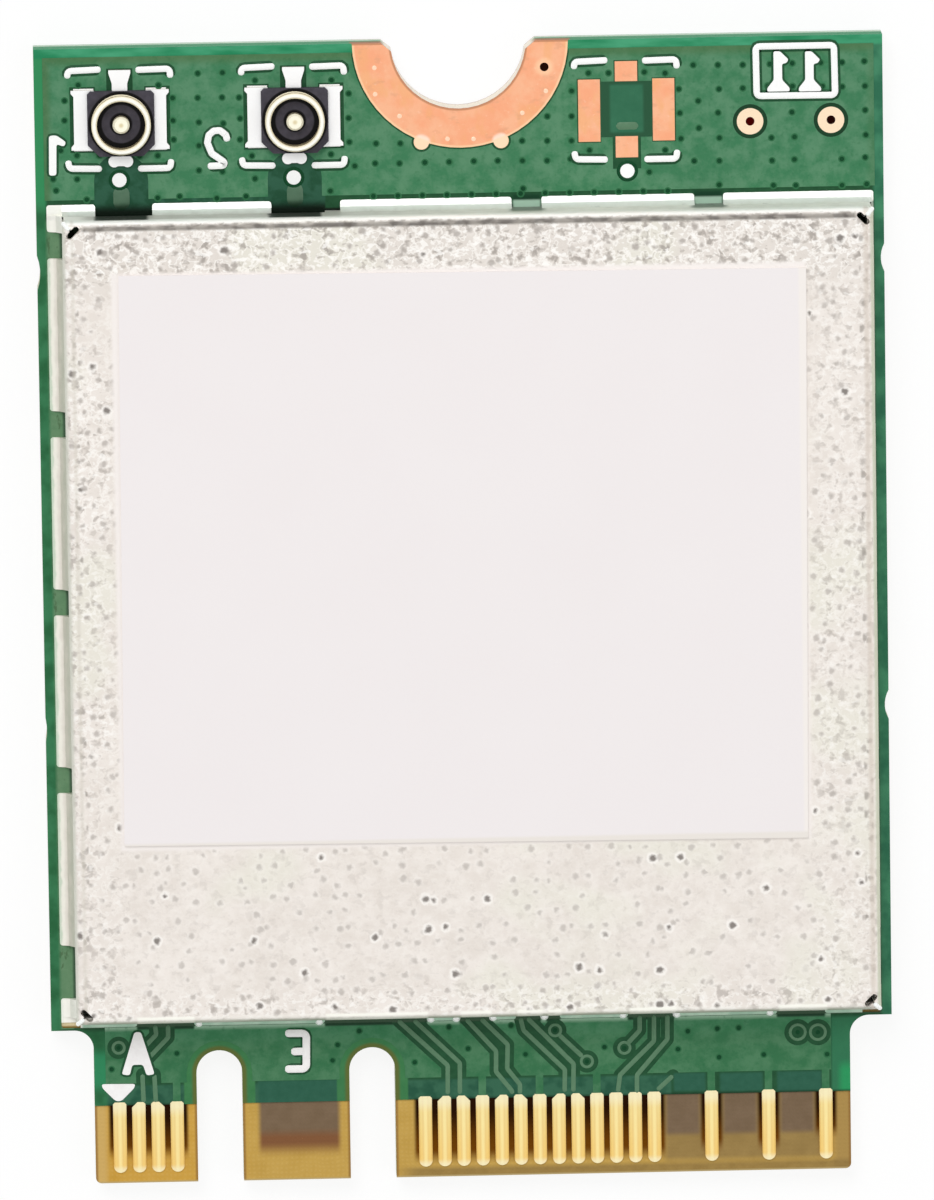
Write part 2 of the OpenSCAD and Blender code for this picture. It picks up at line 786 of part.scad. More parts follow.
module receptacle_1_shell() { color([0.95, 0.92, 0.8]) at_receptacle(receptacle_1) receptacle_shell(); }
module receptacle_2_shell() { color([0.95, 0.92, 0.8]) at_receptacle(receptacle_2) receptacle_shell(); }
module receptacle_1_pin() { color([0.93, 0.88, 0.7]) at_receptacle(receptacle_1) receptacle_pin(); }
module receptacle_2_pin() { color([0.93, 0.88, 0.7]) at_receptacle(receptacle_2) receptacle_pin(); }
module receptacle_1_insulator() { color([0.2, 0.2, 0.22]) at_receptacle(receptacle_1) receptacle_insulator(); }
module receptacle_2_insulator() { color([0.2, 0.2, 0.22]) at_receptacle(receptacle_2) receptacle_insulator(); }

// Parts under the can

module under_can(at) {
    translate([can_x + at[0], can_y + at[1], face_z]) children();
}

module block(l, w, h) {
    translate([-l / 2, -w / 2, 0]) cube([l, w, h]);
}

// A moulded package with a dimple at its first terminal
module package(l, w, h) {
    difference() {
        block(l, w, h);
        translate([-l / 2 + 2 * mark_r, w / 2 - 2 * mark_r, h - mark_depth]) cylinder(r = mark_r, h = 1);
    }
}

// A body between two end caps that stand a little proud of it
module capped(l, w, h) {
    translate([0, 0, lip]) block(l, w - 2 * lip, h - 2 * lip);
    for (s = [-1, 1]) translate([s * (l / 2 - end_cap / 2), 0, 0]) block(end_cap, w, h);
}

module chip_terminals() {
    linear_extrude(terminal_t) row_pads(chip_side, chip_pitch, chip_rows);
    linear_extrude(terminal_t) square(thermal_side, center = true);
}

module wifi_chip() {
    color([0.13, 0.13, 0.14]) under_can(chip_at) difference() {
        package(chip_side, chip_side, chip_h);
        chip_terminals();
    }
}

module wifi_chip_terminals() {
    color([0.8, 0.8, 0.8]) under_can(chip_at) chip_terminals();
}

module front_end_modules() {
    color([0.15, 0.15, 0.16]) for (f = front_ends_at) under_can(f)
        package(front_end_side, front_end_side, front_end_h);
}

module diplexers() {
    color([0.75, 0.72, 0.65]) for (d = diplexers_at) under_can(d) rotate(90)
        capped(diplexer_l, diplexer_w, diplexer_h);
}

module crystal_base() {
    color([0.3, 0.27, 0.25]) under_can(crystal_at) block(crystal_l, crystal_w, crystal_h * 0.6);
}

module crystal_lid() {
    color([0.8, 0.8, 0.78]) under_can(crystal_at) translate([0, 0, crystal_h * 0.6])
        block(crystal_l - 0.3, crystal_w - 0.3, crystal_h * 0.4);
}

module power_inductors() {
    color([0.35, 0.35, 0.36]) for (i = inductors_at) under_can(i)
        capped(inductor_l, inductor_w, inductor_h);
}

module memory_chip() {
    color([0.14, 0.14, 0.15]) under_can(memory_at) package(memory_l, memory_w, memory_h);
}

module capacitors() {
    color([0.68, 0.55, 0.4]) for (c = capacitors_at) under_can(c) rotate(90)
        capped(passive_l, passive_w, capacitor_h);
}

module resistors() {
    color([0.2, 0.2, 0.2]) for (r = resistors_at) under_can(r)
        capped(passive_l, passive_w, resistor_h);
}

board();
solder_mask_top();
solder_mask_bottom();
contacts_top();
contacts_bottom();
screw_land_top();
screw_land_bottom();
shield_lands();
shield_solder();
shield_can();
label();
receptacle_lands();
spare_lands();
test_points();
receptacle_1_shell();
receptacle_1_insulator();
receptacle_1_pin();
receptacle_2_shell();
receptacle_2_insulator();
receptacle_2_pin();
component_lands();
wifi_chip();
wifi_chip_terminals();
front_end_modules();
diplexers();
crystal_base();
crystal_lid();
power_inductors();
memory_chip();
capacitors();
resistors();
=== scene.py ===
"""Wifi card: finishes, copper under the solder mask, printed marks and small lumps of solder."""

import json
import math

import bmesh
import bpy
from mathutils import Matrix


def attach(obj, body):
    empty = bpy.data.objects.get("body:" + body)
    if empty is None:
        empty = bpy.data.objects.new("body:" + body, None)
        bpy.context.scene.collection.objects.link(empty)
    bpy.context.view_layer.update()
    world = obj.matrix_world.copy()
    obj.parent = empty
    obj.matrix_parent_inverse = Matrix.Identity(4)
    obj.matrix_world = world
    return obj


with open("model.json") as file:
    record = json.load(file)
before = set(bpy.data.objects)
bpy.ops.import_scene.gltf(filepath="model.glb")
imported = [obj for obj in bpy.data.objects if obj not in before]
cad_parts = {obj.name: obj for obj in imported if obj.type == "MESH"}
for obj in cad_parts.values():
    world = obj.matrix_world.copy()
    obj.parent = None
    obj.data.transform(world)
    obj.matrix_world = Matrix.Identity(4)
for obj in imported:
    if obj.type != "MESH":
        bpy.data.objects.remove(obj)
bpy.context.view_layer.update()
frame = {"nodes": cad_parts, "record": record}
cad = frame["nodes"]

MM = 0.001


def cad_span(name, axis):
    """The least and the greatest X, Y or Z of a CAD piece, in millimetres."""
    piece = cad[name]
    places = [(piece.matrix_world @ vertex.co)["XYZ".index(axis)] / MM for vertex in piece.data.vertices]
    return round(min(places), 3), round(max(places), 3)


def cad_middle(name, axis):
    return round(sum(cad_span(name, axis)) / 2, 3)


# Places on the card in millimetres: those of CAD pieces are read from the frame

board_half_l = cad_span("board", "Y")[1]
face_z = cad_span("solder_mask_top", "Z")[1]
can_left, can_right = cad_span("shield_can", "X")
can_low, can_high = cad_span("shield_can", "Y")
can_top_z = cad_span("shield_can", "Z")[1]
land_out = cad_span("shield_lands", "X")[1]
land_high = cad_span("shield_lands", "Y")[1]
receptacle_xs = [cad_middle(name, "X") for name in ("receptacle_1_shell", "receptacle_2_shell")]
insulators = ("receptacle_1_insulator", "receptacle_2_insulator")
pin_places = [(cad_middle(name, "X"), cad_middle(name, "Y")) for name in insulators]
spare_x = cad_middle("spare_lands", "X")
test_y = cad_middle("test_points", "Y")
contact_w = 0.35
pitch = 0.5
first_contact_x = round(cad_span("contacts_top", "X")[0] + contact_w / 2, 3)
tongue_half_w = 9.9
notch_xs = (-6.625, -2.625)
notch_r = 0.6
notch_end_y = -12.1
ring_middle = (cad_middle("screw_land_top", "X"), 15.03)
ring_r = 2.8
hole_r = 1.75
receptacle_y = 13.135
test_points_x = (7.55, 9.65)
open_via = (2.228, 14.302)
marker_dots = [(-8.825, 11.545), (-4.306, 11.53), (4.35, 11.54)]
tongue_gates = [(-8.755, -7.265), (-3.845, -1.175), (-0.315, 0.475), (1.155, 1.805), (1.955, 2.305),
                (4.085, 5.295), (7.99, 9.25)]
land_gaps = [(1.37, 2.08), (6.07, 6.8)]


def contact_x(pin):
    """Middle of a contact, by its pin number along both faces."""
    return first_contact_x + (pin - 1) * pitch / 2


# Node trees


def paint(colour):
    """Red, green and blue as they look on a screen, turned into the linear colour that shaders take."""

    def channel(value):
        value /= 255
        return value / 12.92 if value <= 0.04045 else ((value + 0.055) / 1.055) ** 2.4

    return (*map(channel, colour), 1.0)


def feed(tree, socket, value):
    """Links a pattern or another socket to this one, or sets its value. Colours are screen colours."""
    if isinstance(value, Pattern):
        value = value.socket
    if isinstance(value, bpy.types.NodeSocket):
        tree.links.new(value, socket)
    else:
        socket.default_value = paint(value) if socket.type == "RGBA" else value


def add_node(tree, kind, settings=None, **values):
    """A node with its settings, and a value or a link for each input named."""
    node = tree.nodes.new(kind)
    for label, value in (settings or {}).items():
        setattr(node, label, value)
    for label, value in values.items():
        feed(tree, node.inputs[label.replace("_", " ")], value)
    return node


class Pattern:
    """A number or a colour that varies over a surface or along a path. Numbers take plain arithmetic."""

    def __init__(self, tree, socket):
        self.tree = tree
        self.socket = socket

    def calc(self, operation, *others):
        return calculated(self.tree, operation, self, *others)

    def __add__(self, other):
        return self.calc("ADD", other)

    def __sub__(self, other):
        return self.calc("SUBTRACT", other)

    def __rsub__(self, other):
        return calculated(self.tree, "SUBTRACT", other, self)

    def __mul__(self, other):
        return self.calc("MULTIPLY", other)

    def __abs__(self):
        return self.calc("ABSOLUTE")

    def ramp(self, low, high):
        """Eased from 0 at low to 1 at high. It falls where low is the greater one."""
        node = add_node(self.tree, "ShaderNodeMapRange", {"interpolation_type": "SMOOTHSTEP"}, Value=self,
                        From_Min=low, From_Max=high)
        return Pattern(self.tree, node.outputs[0])

    def band(self, low, high, soft):
        """1 between low and high, eased at both ends."""
        return self.ramp(low - soft, low + soft) * self.ramp(high + soft, high - soft)

    def mixed(self, data_type, sockets, output, first, second):
        node = add_node(self.tree, "ShaderNodeMix", {"data_type": data_type})
        for place, value in zip((0, *sockets), (self, first, second)):
            feed(self.tree, node.inputs[place], value)
        return Pattern(self.tree, node.outputs[output])

    def between(self, first, second):
        """The first number where the pattern is 0, the second where it is 1."""
        return self.mixed("FLOAT", (2, 3), 0, first, second)

    def blend(self, first, second):
        """The first colour where the pattern is 0, the second where it is 1."""
        return self.mixed("RGBA", (6, 7), 2, first, second)

    def steps(self, colour, *stops):
        """Colours along the pattern: the first one, then each next one from its place on."""
        for place, soft, following in stops:
            colour = self.ramp(place - soft, place + soft).blend(colour, following)
        return colour


def calculated(tree, operation, *values):
    node = add_node(tree, "ShaderNodeMath", {"operation": operation})
    for socket, value in zip(node.inputs, values):
        feed(tree, socket, value)
    return Pattern(tree, node.outputs[0])


def any_of(patterns):
    """The greatest of the patterns at each place."""
    found = patterns[0]
    for pattern in patterns[1:]:
        found = found.calc("MAXIMUM", pattern)
    return found


class Finish:
    """A procedural material. Its patterns read the place on the card in millimetres."""

    def __init__(self, name, roughness, metallic=0.0, specular=0.5):
        self.material = bpy.data.materials.new(name)
        self.material.use_nodes = True
        self.tree = self.material.node_tree
        self.shader = self.tree.nodes["Principled BSDF"]
        surface = {"Roughness": roughness, "Metallic": metallic, "Specular IOR Level": specular}
        for label, value in surface.items():
            self.shader.inputs[label].default_value = value
        scaled = self.add("ShaderNodeVectorMath", {"operation": "SCALE"}, Scale=1 / MM)
        feed(self.tree, scaled.inputs[0], self.add("ShaderNodeTexCoord").outputs["Object"])
        self.place = scaled.outputs[0]
        split = self.add("ShaderNodeSeparateXYZ", Vector=self.place)
        self.x, self.y, self.z = (Pattern(self.tree, socket) for socket in split.outputs)

    def add(self, kind, settings=None, **values):
        return add_node(self.tree, kind, settings, **values)

    def patch(self, x0, y0, x1, y1, soft):
        """1 inside a rectangle."""
        return self.x.band(x0, x1, soft) * self.y.band(y0, y1, soft)

    def stretched(self, across, along):
        """The place on the card, scaled in its two directions."""
        return self.add("ShaderNodeMapping", Vector=self.place, Scale=(across, along, 1.0)).outputs[0]

    def warped(self, scale, amount):
        """The place on the card, pushed about by noise of that many spots a millimetre."""
        noise = self.add("ShaderNodeTexNoise", Vector=self.place, Scale=scale)
        node = self.add("ShaderNodeVectorMath", {"operation": "MULTIPLY_ADD"})
        for socket, value in zip(node.inputs, (noise.outputs["Color"], (amount, amount, amount), self.place)):
            feed(self.tree, socket, value)
        return node.outputs[0]

    def away(self, x, y):
        """Distance from a place on the card."""
        across, along = self.x - x, self.y - y
        return (across * across + along * along).calc("SQRT")

    def upright(self):
        """1 on walls, 0 on level faces."""
        normal = self.add("ShaderNodeNewGeometry").outputs["Normal"]
        split = self.add("ShaderNodeSeparateXYZ", Vector=normal)
        return abs(Pattern(self.tree, split.outputs[2])).ramp(0.6, 0.3)

    def grain(self, scale, detail=2.0, roughness=0.5, vector=None):
        """Noise from 0 to 1 with that many spots a millimetre."""
        node = self.add("ShaderNodeTexNoise", Vector=vector or self.place, Scale=scale, Detail=detail,
                        Roughness=roughness)
        return Pattern(self.tree, node.outputs["Fac"])

    def over(self, where, colour):
        """Lays a colour over the ones before it, where the pattern is 1."""
        self.colour = where.blend(self.colour, colour)

    def done(self, height=None, depth_mm=0.0):
        """The material in its colour, with bumps where a height is given."""
        feed(self.tree, self.shader.inputs["Base Color"], self.colour)
        if height is not None:
            bump = self.add("ShaderNodeBump", Distance=depth_mm * MM, Strength=1.0, Height=height)
            feed(self.tree, self.shader.inputs["Normal"], bump.outputs[0])
        return self.material


# Finishes


def notch_gap(coat, notch_x):
    """Distance from the edge of a key notch."""
    across = coat.x - notch_x
    above = (coat.y - notch_end_y).calc("MAXIMUM", 0.0)
    return (across * across + above * above).calc("SQRT") - notch_r


def in_gates(coat):
    """1 where tracks pass under the can's wall towards the tongue."""
    return any_of([coat.x.band(low, high, 0.04) for low, high in tongue_gates])


def mask_edges(coat):
    """Brighter green along the board's edges."""
    x, y = coat.x, coat.y
    clouds = coat.grain(1.3, 3)
    spots = clouds.ramp(0.35, 0.65)
    streaks = coat.grain(1.5, 3, 0.5, coat.stretched(0.5, 2)).ramp(0.3, 0.7)
    left = y.ramp(10.6, 11.2).blend(spots.blend((38, 98, 60), (56, 122, 82)), (50, 136, 86))
    left = y.band(-12.45, -11.5, 0.2).blend(left, (46, 132, 88))
    coat.over(x.ramp(10.68, 10.8), spots.blend((44, 106, 78), (66, 132, 98)))
    coat.over(x.ramp(-10.68, -10.8), left)
    coat.over(y.ramp(14.7, 14.8), streaks.blend((34, 130, 86), (72, 160, 118)))
    tongue = y.ramp(-10.86, -11.0)
    coat.over(x.ramp(-9.5, -9.62) * tongue, left)
    bright = x.ramp(9.5, 9.75) * y.ramp(-12.0, -12.4)
    coat.over(x.ramp(9.36, 9.46) * tongue,
              bright.blend(clouds.blend((42, 106, 74), (56, 124, 86)), (42, 146, 90)))


def make_mask():
    """Green mask on bare laminate: dark, teal in the wide gaps, bright along the board's edges."""
    coat = Finish("green_mask", 0.38, specular=0.12)
    x, y = coat.x, coat.y
    coat.colour = coat.grain(6).blend((20, 64, 38), (42, 90, 58))
    above_contacts = coat.grain(2.4, 3).ramp(0.35, 0.6).blend((34, 82, 61), (52, 100, 76))
    coat.over(coat.patch(-9.6, -12.93, 5.2, -12.4, 0.04), above_contacts)
    teal_gaps = [(-5.62, -12.95, -3.44, -12.34), (5.27, -12.84, 6.1, -12.36), (6.48, -12.87, 7.6, -12.38),
                 (7.98, -12.9, 9.15, -12.37)]
    coat.over(any_of([coat.patch(*gap, 0.05) for gap in teal_gaps]),
              coat.grain(5).blend((34, 84, 64), (50, 100, 80)))
    channel = coat.grain(3, 3).ramp(0.4, 0.6).blend((32, 78, 54), (46, 92, 70))
    # Painted shade: near black mask along the can's upper wall
    channel = y.ramp(10.98, 10.72).blend(channel, (10, 30, 18))
    coat.over(coat.patch(-9.6, 10.5, -3.5, 12.3, 0.03), channel)
    coat.over(coat.patch(3.6, 12.4, 5.1, 13.95, 0.02), (40, 84, 58))
    coat.over(coat.patch(3.92, 12.55, 4.78, 13.8, 0.05), coat.grain(3).blend((42, 100, 72), (58, 116, 86)))
    olive = coat.grain(2.4, 3, 0.6, coat.stretched(2, 1)).ramp(0.55, 0.66)
    beside_can = (olive * 0.6).blend(coat.grain(5).blend((84, 126, 90), (112, 146, 112)), (60, 86, 54))
    # Painted shade: darker green beside the can's left wall, and near black along its upper edge
    beside_can = x.ramp(-10.44, -10.37).blend(beside_can, (64, 90, 68))
    beside_can = y.ramp(10.45, 10.6).blend(beside_can, (10, 24, 14))
    coat.over(y.band(-10.85, 10.72, 0.03), beside_can)
    between_lands = y.ramp(10.79, 10.87).blend((170, 202, 180), (18, 60, 38))
    for low, high in land_gaps:
        coat.over(coat.patch(low, 10.6, high, 10.97, 0.05), between_lands)
    for hole_x in test_points_x:
        coat.over(coat.away(hole_x, test_y).ramp(0.5, 0.46), (22, 60, 36))
    mask_edges(coat)
    # Painted shade: darker mask just above the narrow contacts
    beside_contacts = any_of([x.band(contact_x(1) - 0.3, contact_x(7) + 0.3, 0.06),
                              x.ramp(contact_x(33) - 0.36, contact_x(33) - 0.24)])
    coat.over(y.ramp(-12.84, -12.92) * beside_contacts * 0.75, (18, 50, 30))
    round_notch = coat.grain(4).blend((50, 112, 66), (68, 128, 80))
    for notch_x in notch_xs:
        from_notch = notch_gap(coat, notch_x)
        coat.over(from_notch.ramp(0.36, 0.3), round_notch)
        coat.over(from_notch.ramp(0.16, 0.06), (92, 104, 50))
    return coat.done(coat.grain(14, 3), 0.006)


def make_pour():
    """Mask over the copper pour, lighter and greyer than on bare laminate."""
    coat = Finish("mask_over_copper", 0.36, specular=0.12)
    x, y = coat.x, coat.y
    clouds = coat.grain(2.2, 4, 0.6).ramp(0.34, 0.66)
    # Painted light: brighter mask just below the can, lifting the shadow that the can casts there
    near_can = clouds.blend((60, 128, 86), (80, 140, 102))
    coat.colour = clouds.blend((52, 110, 72), (76, 126, 90))
    coat.over(y.ramp(-11.5, -10.95) * 0.8, near_can)
    coat.over(y.ramp(-5, 5), clouds.blend((60, 122, 84), (88, 138, 104)))
    gates = in_gates(coat)
    tongue_side = y.ramp(5, -5)
    coat.over(y.ramp(-10.98, -10.84) * tongue_side * (1.0 - gates), (156, 190, 164))
    # Painted shade where tracks pass under the can's wall
    coat.over(y.ramp(-10.94, -10.88) * tongue_side * gates, (30, 64, 42))
    rim = any_of([x.ramp(-10.5, -10.72), x.ramp(10.5, 10.72) * 0.4, y.ramp(14.45, 14.72)])
    coat.over(rim * 0.7, coat.grain(4).blend((68, 104, 62), (86, 122, 80)))
    coat.over(coat.grain(9, 3).ramp(0.55, 0.75) * 0.35, (40, 104, 66))
    return coat.done(coat.grain(14, 3), 0.006)


def make_track():
    """Mask over a track, where it is thinnest."""
    coat = Finish("mask_over_track", 0.34, specular=0.15)
    coat.colour = coat.grain(5, 3).blend((80, 118, 89), (100, 136, 106))
    return coat.done(coat.grain(20), 0.004)


def make_feed():
    """Mask over the short line from an antenna's pad, with painted shade where it goes under the can."""
    coat = Finish("mask_over_feed", 0.38, specular=0.12)
    coat.colour = coat.grain(4, 3).blend((78, 112, 88), (96, 126, 102))
    # Painted shade at the can's wall
    coat.over(coat.y.ramp(11.0, 10.74), (20, 46, 28))
    return coat.done(coat.grain(14, 3), 0.004)


def make_clouded(name, first, second, roughness, metallic=0.0, specular=0.5, scale=9, detail=2.0):
    """A plain coat that wanders between two colours."""
    coat = Finish(name, roughness, metallic, specular)
    coat.colour = coat.grain(scale, detail).blend(first, second)
    return coat.done()


def make_hole_shade():
    """Painted shade for the dark inside of an open plated hole: red brown in the test points, nearly black in
    the ring.
    """
    coat = Finish("hole_plug", 0.8, specular=0.02)
    test_hole = coat.x.ramp(8, 9).blend((64, 0, 0), (30, 4, 2))
    coat.colour = coat.x.ramp(4, 6).blend((30, 10, 4), test_hole)
    return coat.done()


def make_ink():
    """White ink, worn on the tongue."""
    coat = Finish("white_ink", 0.6, specular=0.3)
    coat.colour = coat.grain(7, 4, 0.7).blend((250, 251, 249), (255, 255, 255))
    coat.over(coat.y.ramp(-5, -6), coat.grain(6, 3, 0.6).blend((240, 235, 234), (255, 255, 254)))
    return coat.done(coat.grain(24, 3), 0.003)


def laminate_face(coat, weave):
    """Golden between the contacts, with inner copper showing brown and tan, and paler at the shoulders."""
    x, y = coat.x, coat.y
    coat.colour = coat.grain(1.4, 4, 0.6).blend((184, 146, 66), (206, 170, 92))
    coat.over(x.ramp(-5.5, -7), coat.grain(2).blend((192, 146, 52), (212, 168, 82)))
    coat.over(weave * 0.12, (226, 196, 124))
    coat.over(x.ramp(9.3, 9.6), (172, 140, 80))
    coat.over(x.ramp(-9.5, -9.7), (206, 170, 100))
    tan = coat.grain(2, 3).blend((140, 114, 66), (166, 138, 84))
    coat.over(coat.patch(5.0, -14.7, 9.2, -12.8, 0.15), tan)
    block = coat.grain(3, 3).blend((112, 92, 70), (130, 109, 87))
    wide = [coat.patch(contact_x(p) + 0.3, -14.0, contact_x(p + 6) - 0.3, -12.7, 0.1) for p in (57, 63, 69)]
    coat.over(any_of(wide), block)
    between_notches = x.band(-5.6, -3.5, 0.09) * y.ramp(-14.45, -13.98)
    coat.over(between_notches, y.ramp(-13.9, -13.6).blend((130, 88, 58), block))
    rubbed = y.ramp(-14.66, -14.84) * x.ramp(-2.2, -1.4)
    coat.over(rubbed * 0.85, coat.grain(5, 3).blend((132, 106, 60), (160, 132, 78)))
    # Painted shade beside and between the narrow contacts, darkest towards their top
    rows = [(1, 7, -14.25), (33, 57, -14.52), (63, 63, -14.35), (69, 69, -14.35), (75, 75, -14.05)]
    narrow = []
    for first, last, bottom in rows:
        beside = x.band(contact_x(first) - 0.28, contact_x(last) + 0.28, 0.06)
        narrow.append(y.ramp(bottom - 0.2, bottom + 0.25) * beside)
    coat.over(any_of(narrow), y.ramp(-14.3, -13.2).blend((108, 62, 4), (36, 14, 0)))
    rims = [abs(x).ramp(tongue_half_w - 0.09, tongue_half_w - 0.03)]
    rims += [notch_gap(coat, notch_x).ramp(0.09, 0.03) for notch_x in notch_xs]
    coat.over(any_of(rims) * 0.8, (146, 108, 58))
    coat.over(y.ramp(0.06 - board_half_l, 0.02 - board_half_l) * 0.8, (186, 166, 120))
    shoulder = y.ramp(-10.81, -10.75).blend((140, 112, 56), (216, 200, 160))
    coat.over(y.ramp(-11.5, -11.3), x.ramp(-1, 1).blend(shoulder, (122, 104, 60)))


def laminate_cut(coat):
    """Pale layers along a cut, green at the screw end and brown under the copper ring."""
    edge = coat.z.calc("PINGPONG", 0.12).ramp(0.02, 0.1).blend((206, 200, 172), (234, 231, 212))
    edge = (coat.grain(9, 4, 0.7) * 0.4).blend(edge, (190, 182, 146))
    edge = coat.z.ramp(0.45, 0.7).blend(edge, (120, 158, 132))
    under_ring = coat.x.band(-2.8, 2.9, 0.04) * coat.z.ramp(0.3, 0.6)
    screw_end = coat.z.ramp(0.1, 0.4).blend((206, 220, 204), (76, 142, 106))
    edge = coat.y.ramp(14.9, 14.95).blend(edge, under_ring.blend(screw_end, (160, 116, 90)))
    return coat.away(0, board_half_l).ramp(hole_r + 0.3, hole_r + 0.1).blend(edge, (238, 230, 216))


def make_laminate():
    """Glass cloth in epoxy."""
    coat = Finish("laminate", 0.5, specular=0.03)
    waves = []
    for direction in ("X", "Y"):
        wave = coat.add("ShaderNodeTexWave", {"wave_type": "BANDS", "bands_direction": direction},
                        Vector=coat.place, Scale=2.6, Distortion=5.0, Detail_Scale=0.8)
        waves.append(Pattern(coat.tree, wave.outputs["Fac"]))
    weave = waves[0] * waves[1]
    laminate_face(coat, weave)
    coat.over(coat.upright(), laminate_cut(coat))
    return coat.done(weave + coat.grain(18, 3), 0.006)


def make_gold():
    """Gold plating: a light stripe along each contact's middle, rubbed where springs slide, painted shade
    along the rims and a painted highlight at both ends.
    """
    coat = Finish("contact_gold", 0.34, 0.45)
    y = coat.y
    coat.colour = y.ramp(-14.6, -13.0).blend((240, 202, 116), (238, 214, 142))
    from_top_row = (coat.x - first_contact_x).calc("PINGPONG", pitch / 2)
    from_middle = coat.z.ramp(0.3, 0.5).between(pitch / 2 - from_top_row, from_top_row)
    wiped = coat.grain(3, 4, 0.6, coat.stretched(9, 0.7))
    coat.over(from_middle.ramp(0.1, 0.0) * wiped.between(0.4, 1.0), (249, 232, 164))
    coat.over(from_middle.band(0.05, 0.08, 0.02) * 0.35, (222, 182, 112))
    # Painted shade along each contact's rims
    coat.over(from_middle.ramp(0.12, 0.172) * 0.55, (206, 158, 66))
    # Painted highlight at both ends of the contacts
    ends = any_of([y.ramp(-13.3, -12.95), y.ramp(-14.5, -14.68)])
    coat.over(ends * 0.7, (243, 235, 198))
    feed(coat.tree, coat.shader.inputs["Roughness"], coat.grain(5, 3).between(0.28, 0.46))
    return coat.done(coat.grain(5, 3, 0.6, coat.stretched(14, 1.2)), 0.003)


def make_copper():
    """Bare copper under a clear film: a pink salmon, clouded, lighter at its rims, brown where cut."""
    coat = Finish("bare_copper", 0.44, 0.3)
    x, y = coat.x, coat.y
    from_ring = coat.away(*ring_middle)
    coat.colour = coat.grain(1.8, 5, 0.6).ramp(0.35, 0.65).blend((244, 166, 124), (245, 180, 140))
    coat.over(coat.grain(1.3, 3, 0.6, coat.stretched(1.4, 0.8)).ramp(0.5, 0.66) * 0.6, (240, 172, 116))
    coat.over(coat.grain(2.6, 3, 0.6, coat.stretched(0.8, 1.3)).ramp(0.56, 0.68) * 0.5, (222, 158, 120))
    coat.over(coat.away(*open_via).ramp(0.3, 0.16) * 0.6, (255, 208, 166))
    for lobe_x in (ring_middle[0] - 1.02, ring_middle[0] + 1.02):
        lobe = coat.away(lobe_x, 12.39).ramp(0.26, 0.16)
        coat.over(lobe * from_ring.ramp(ring_r - 0.28, ring_r - 0.08), (255, 222, 200))
    coat.over(coat.grain(9, 2).ramp(0.66, 0.74) * 0.3, (252, 204, 172))
    coat.over(coat.patch(7.0, 12.3, 10.1, 13.2, 0.02), (248, 222, 190))
    coat.over(from_ring.ramp(ring_r - 0.08, ring_r - 0.03) * x.ramp(3.0, 2.9) * 0.6, (255, 216, 170))
    rim = any_of([coat.away(0, board_half_l).ramp(hole_r + 0.07, hole_r + 0.03),
                  y.ramp(board_half_l - 0.06, board_half_l - 0.03)])
    coat.over(rim, (196, 134, 96))
    coat.over(coat.upright(), (150, 96, 66))
    return coat.done(coat.grain(10, 4, 0.6), 0.004)


def make_solder():
    """Bright tin, with a white painted highlight towards the outer rims of the strips and painted shade where
    it meets the can's walls.
    """
    coat = Finish("solder_tin", 0.34, 0.3)
    x, y = coat.x, coat.y
    clouds = coat.grain(2.0, 4, 0.6).ramp(0.35, 0.65)
    ripple = (coat.grain(3, 2) - 0.5) * 0.12
    # Left strip: greenish at its outer rim, then a white painted highlight, then greyer painted shade towards
    # the can's wall
    coat.colour = (x + land_out + ripple).steps(
        (202, 216, 196), (0.06, 0.03, (240, 237, 226)), (0.16, 0.04, (226, 220, 210)),
        (0.23, 0.04, (208, 204, 191)), (0.31, 0.04, (193, 193, 178)))
    coat.over(x.ramp(-10.3, -10.2), clouds.blend((214, 210, 202), (246, 245, 240)))
    coat.over(x.ramp(10.55, 10.6), clouds.blend((232, 230, 208), (244, 240, 226)))
    tongue_side = y.ramp(-10.5, -10.56) * x.band(-10.2, 10.25, 0.06)
    coat.over(tongue_side, clouds.blend((152, 186, 162), (178, 204, 182)))
    inner = x.ramp(-6, 3).blend((204, 202, 195), (230, 231, 221))
    inner = (coat.grain(4, 3).ramp(0.56, 0.68) * 0.4).blend(inner, (140, 136, 128))
    # Upper strip: a white painted highlight at its outer rim, then painted shade towards the can's wall
    coat.over(y.ramp(10.5, 10.56), (land_high - y + ripple).steps((250, 254, 248), (0.25, 0.08, inner)))
    coat.over(abs(y).ramp(9.7, 9.95) * x.ramp(-10.15, -10.25) * 0.7, (247, 246, 238))
    coat.over(y.ramp(11.4, 11.5), (255, 255, 255))
    coat.over(clouds * (coat.z.ramp(0.803, 0.801) * 0.25), (255, 255, 250))
    return coat.done(coat.grain(2.6, 3), 0.03)


def sheet_dots(coat, scale, share, radius, places):
    """Spots and the pale rims round them: that many cells a millimetre, a share of them marked."""
    cells = coat.add("ShaderNodeTexVoronoi", {"feature": "F1", "voronoi_dimensions": "2D"}, Vector=places,
                     Scale=scale)
    drawn = coat.add("ShaderNodeSeparateColor", Color=cells.outputs["Color"])
    size = Pattern(coat.tree, drawn.outputs[0]).between(0.55, 1.0) * (radius * scale)
    inside = size - cells.outputs["Distance"]
    marked = Pattern(coat.tree, drawn.outputs[1]).ramp(1 - share - 0.01, 1 - share + 0.01)
    soft = 0.045 * scale
    return inside.ramp(-soft, soft) * marked, inside.ramp(-soft - 0.07 * scale, -0.04 * scale) * marked


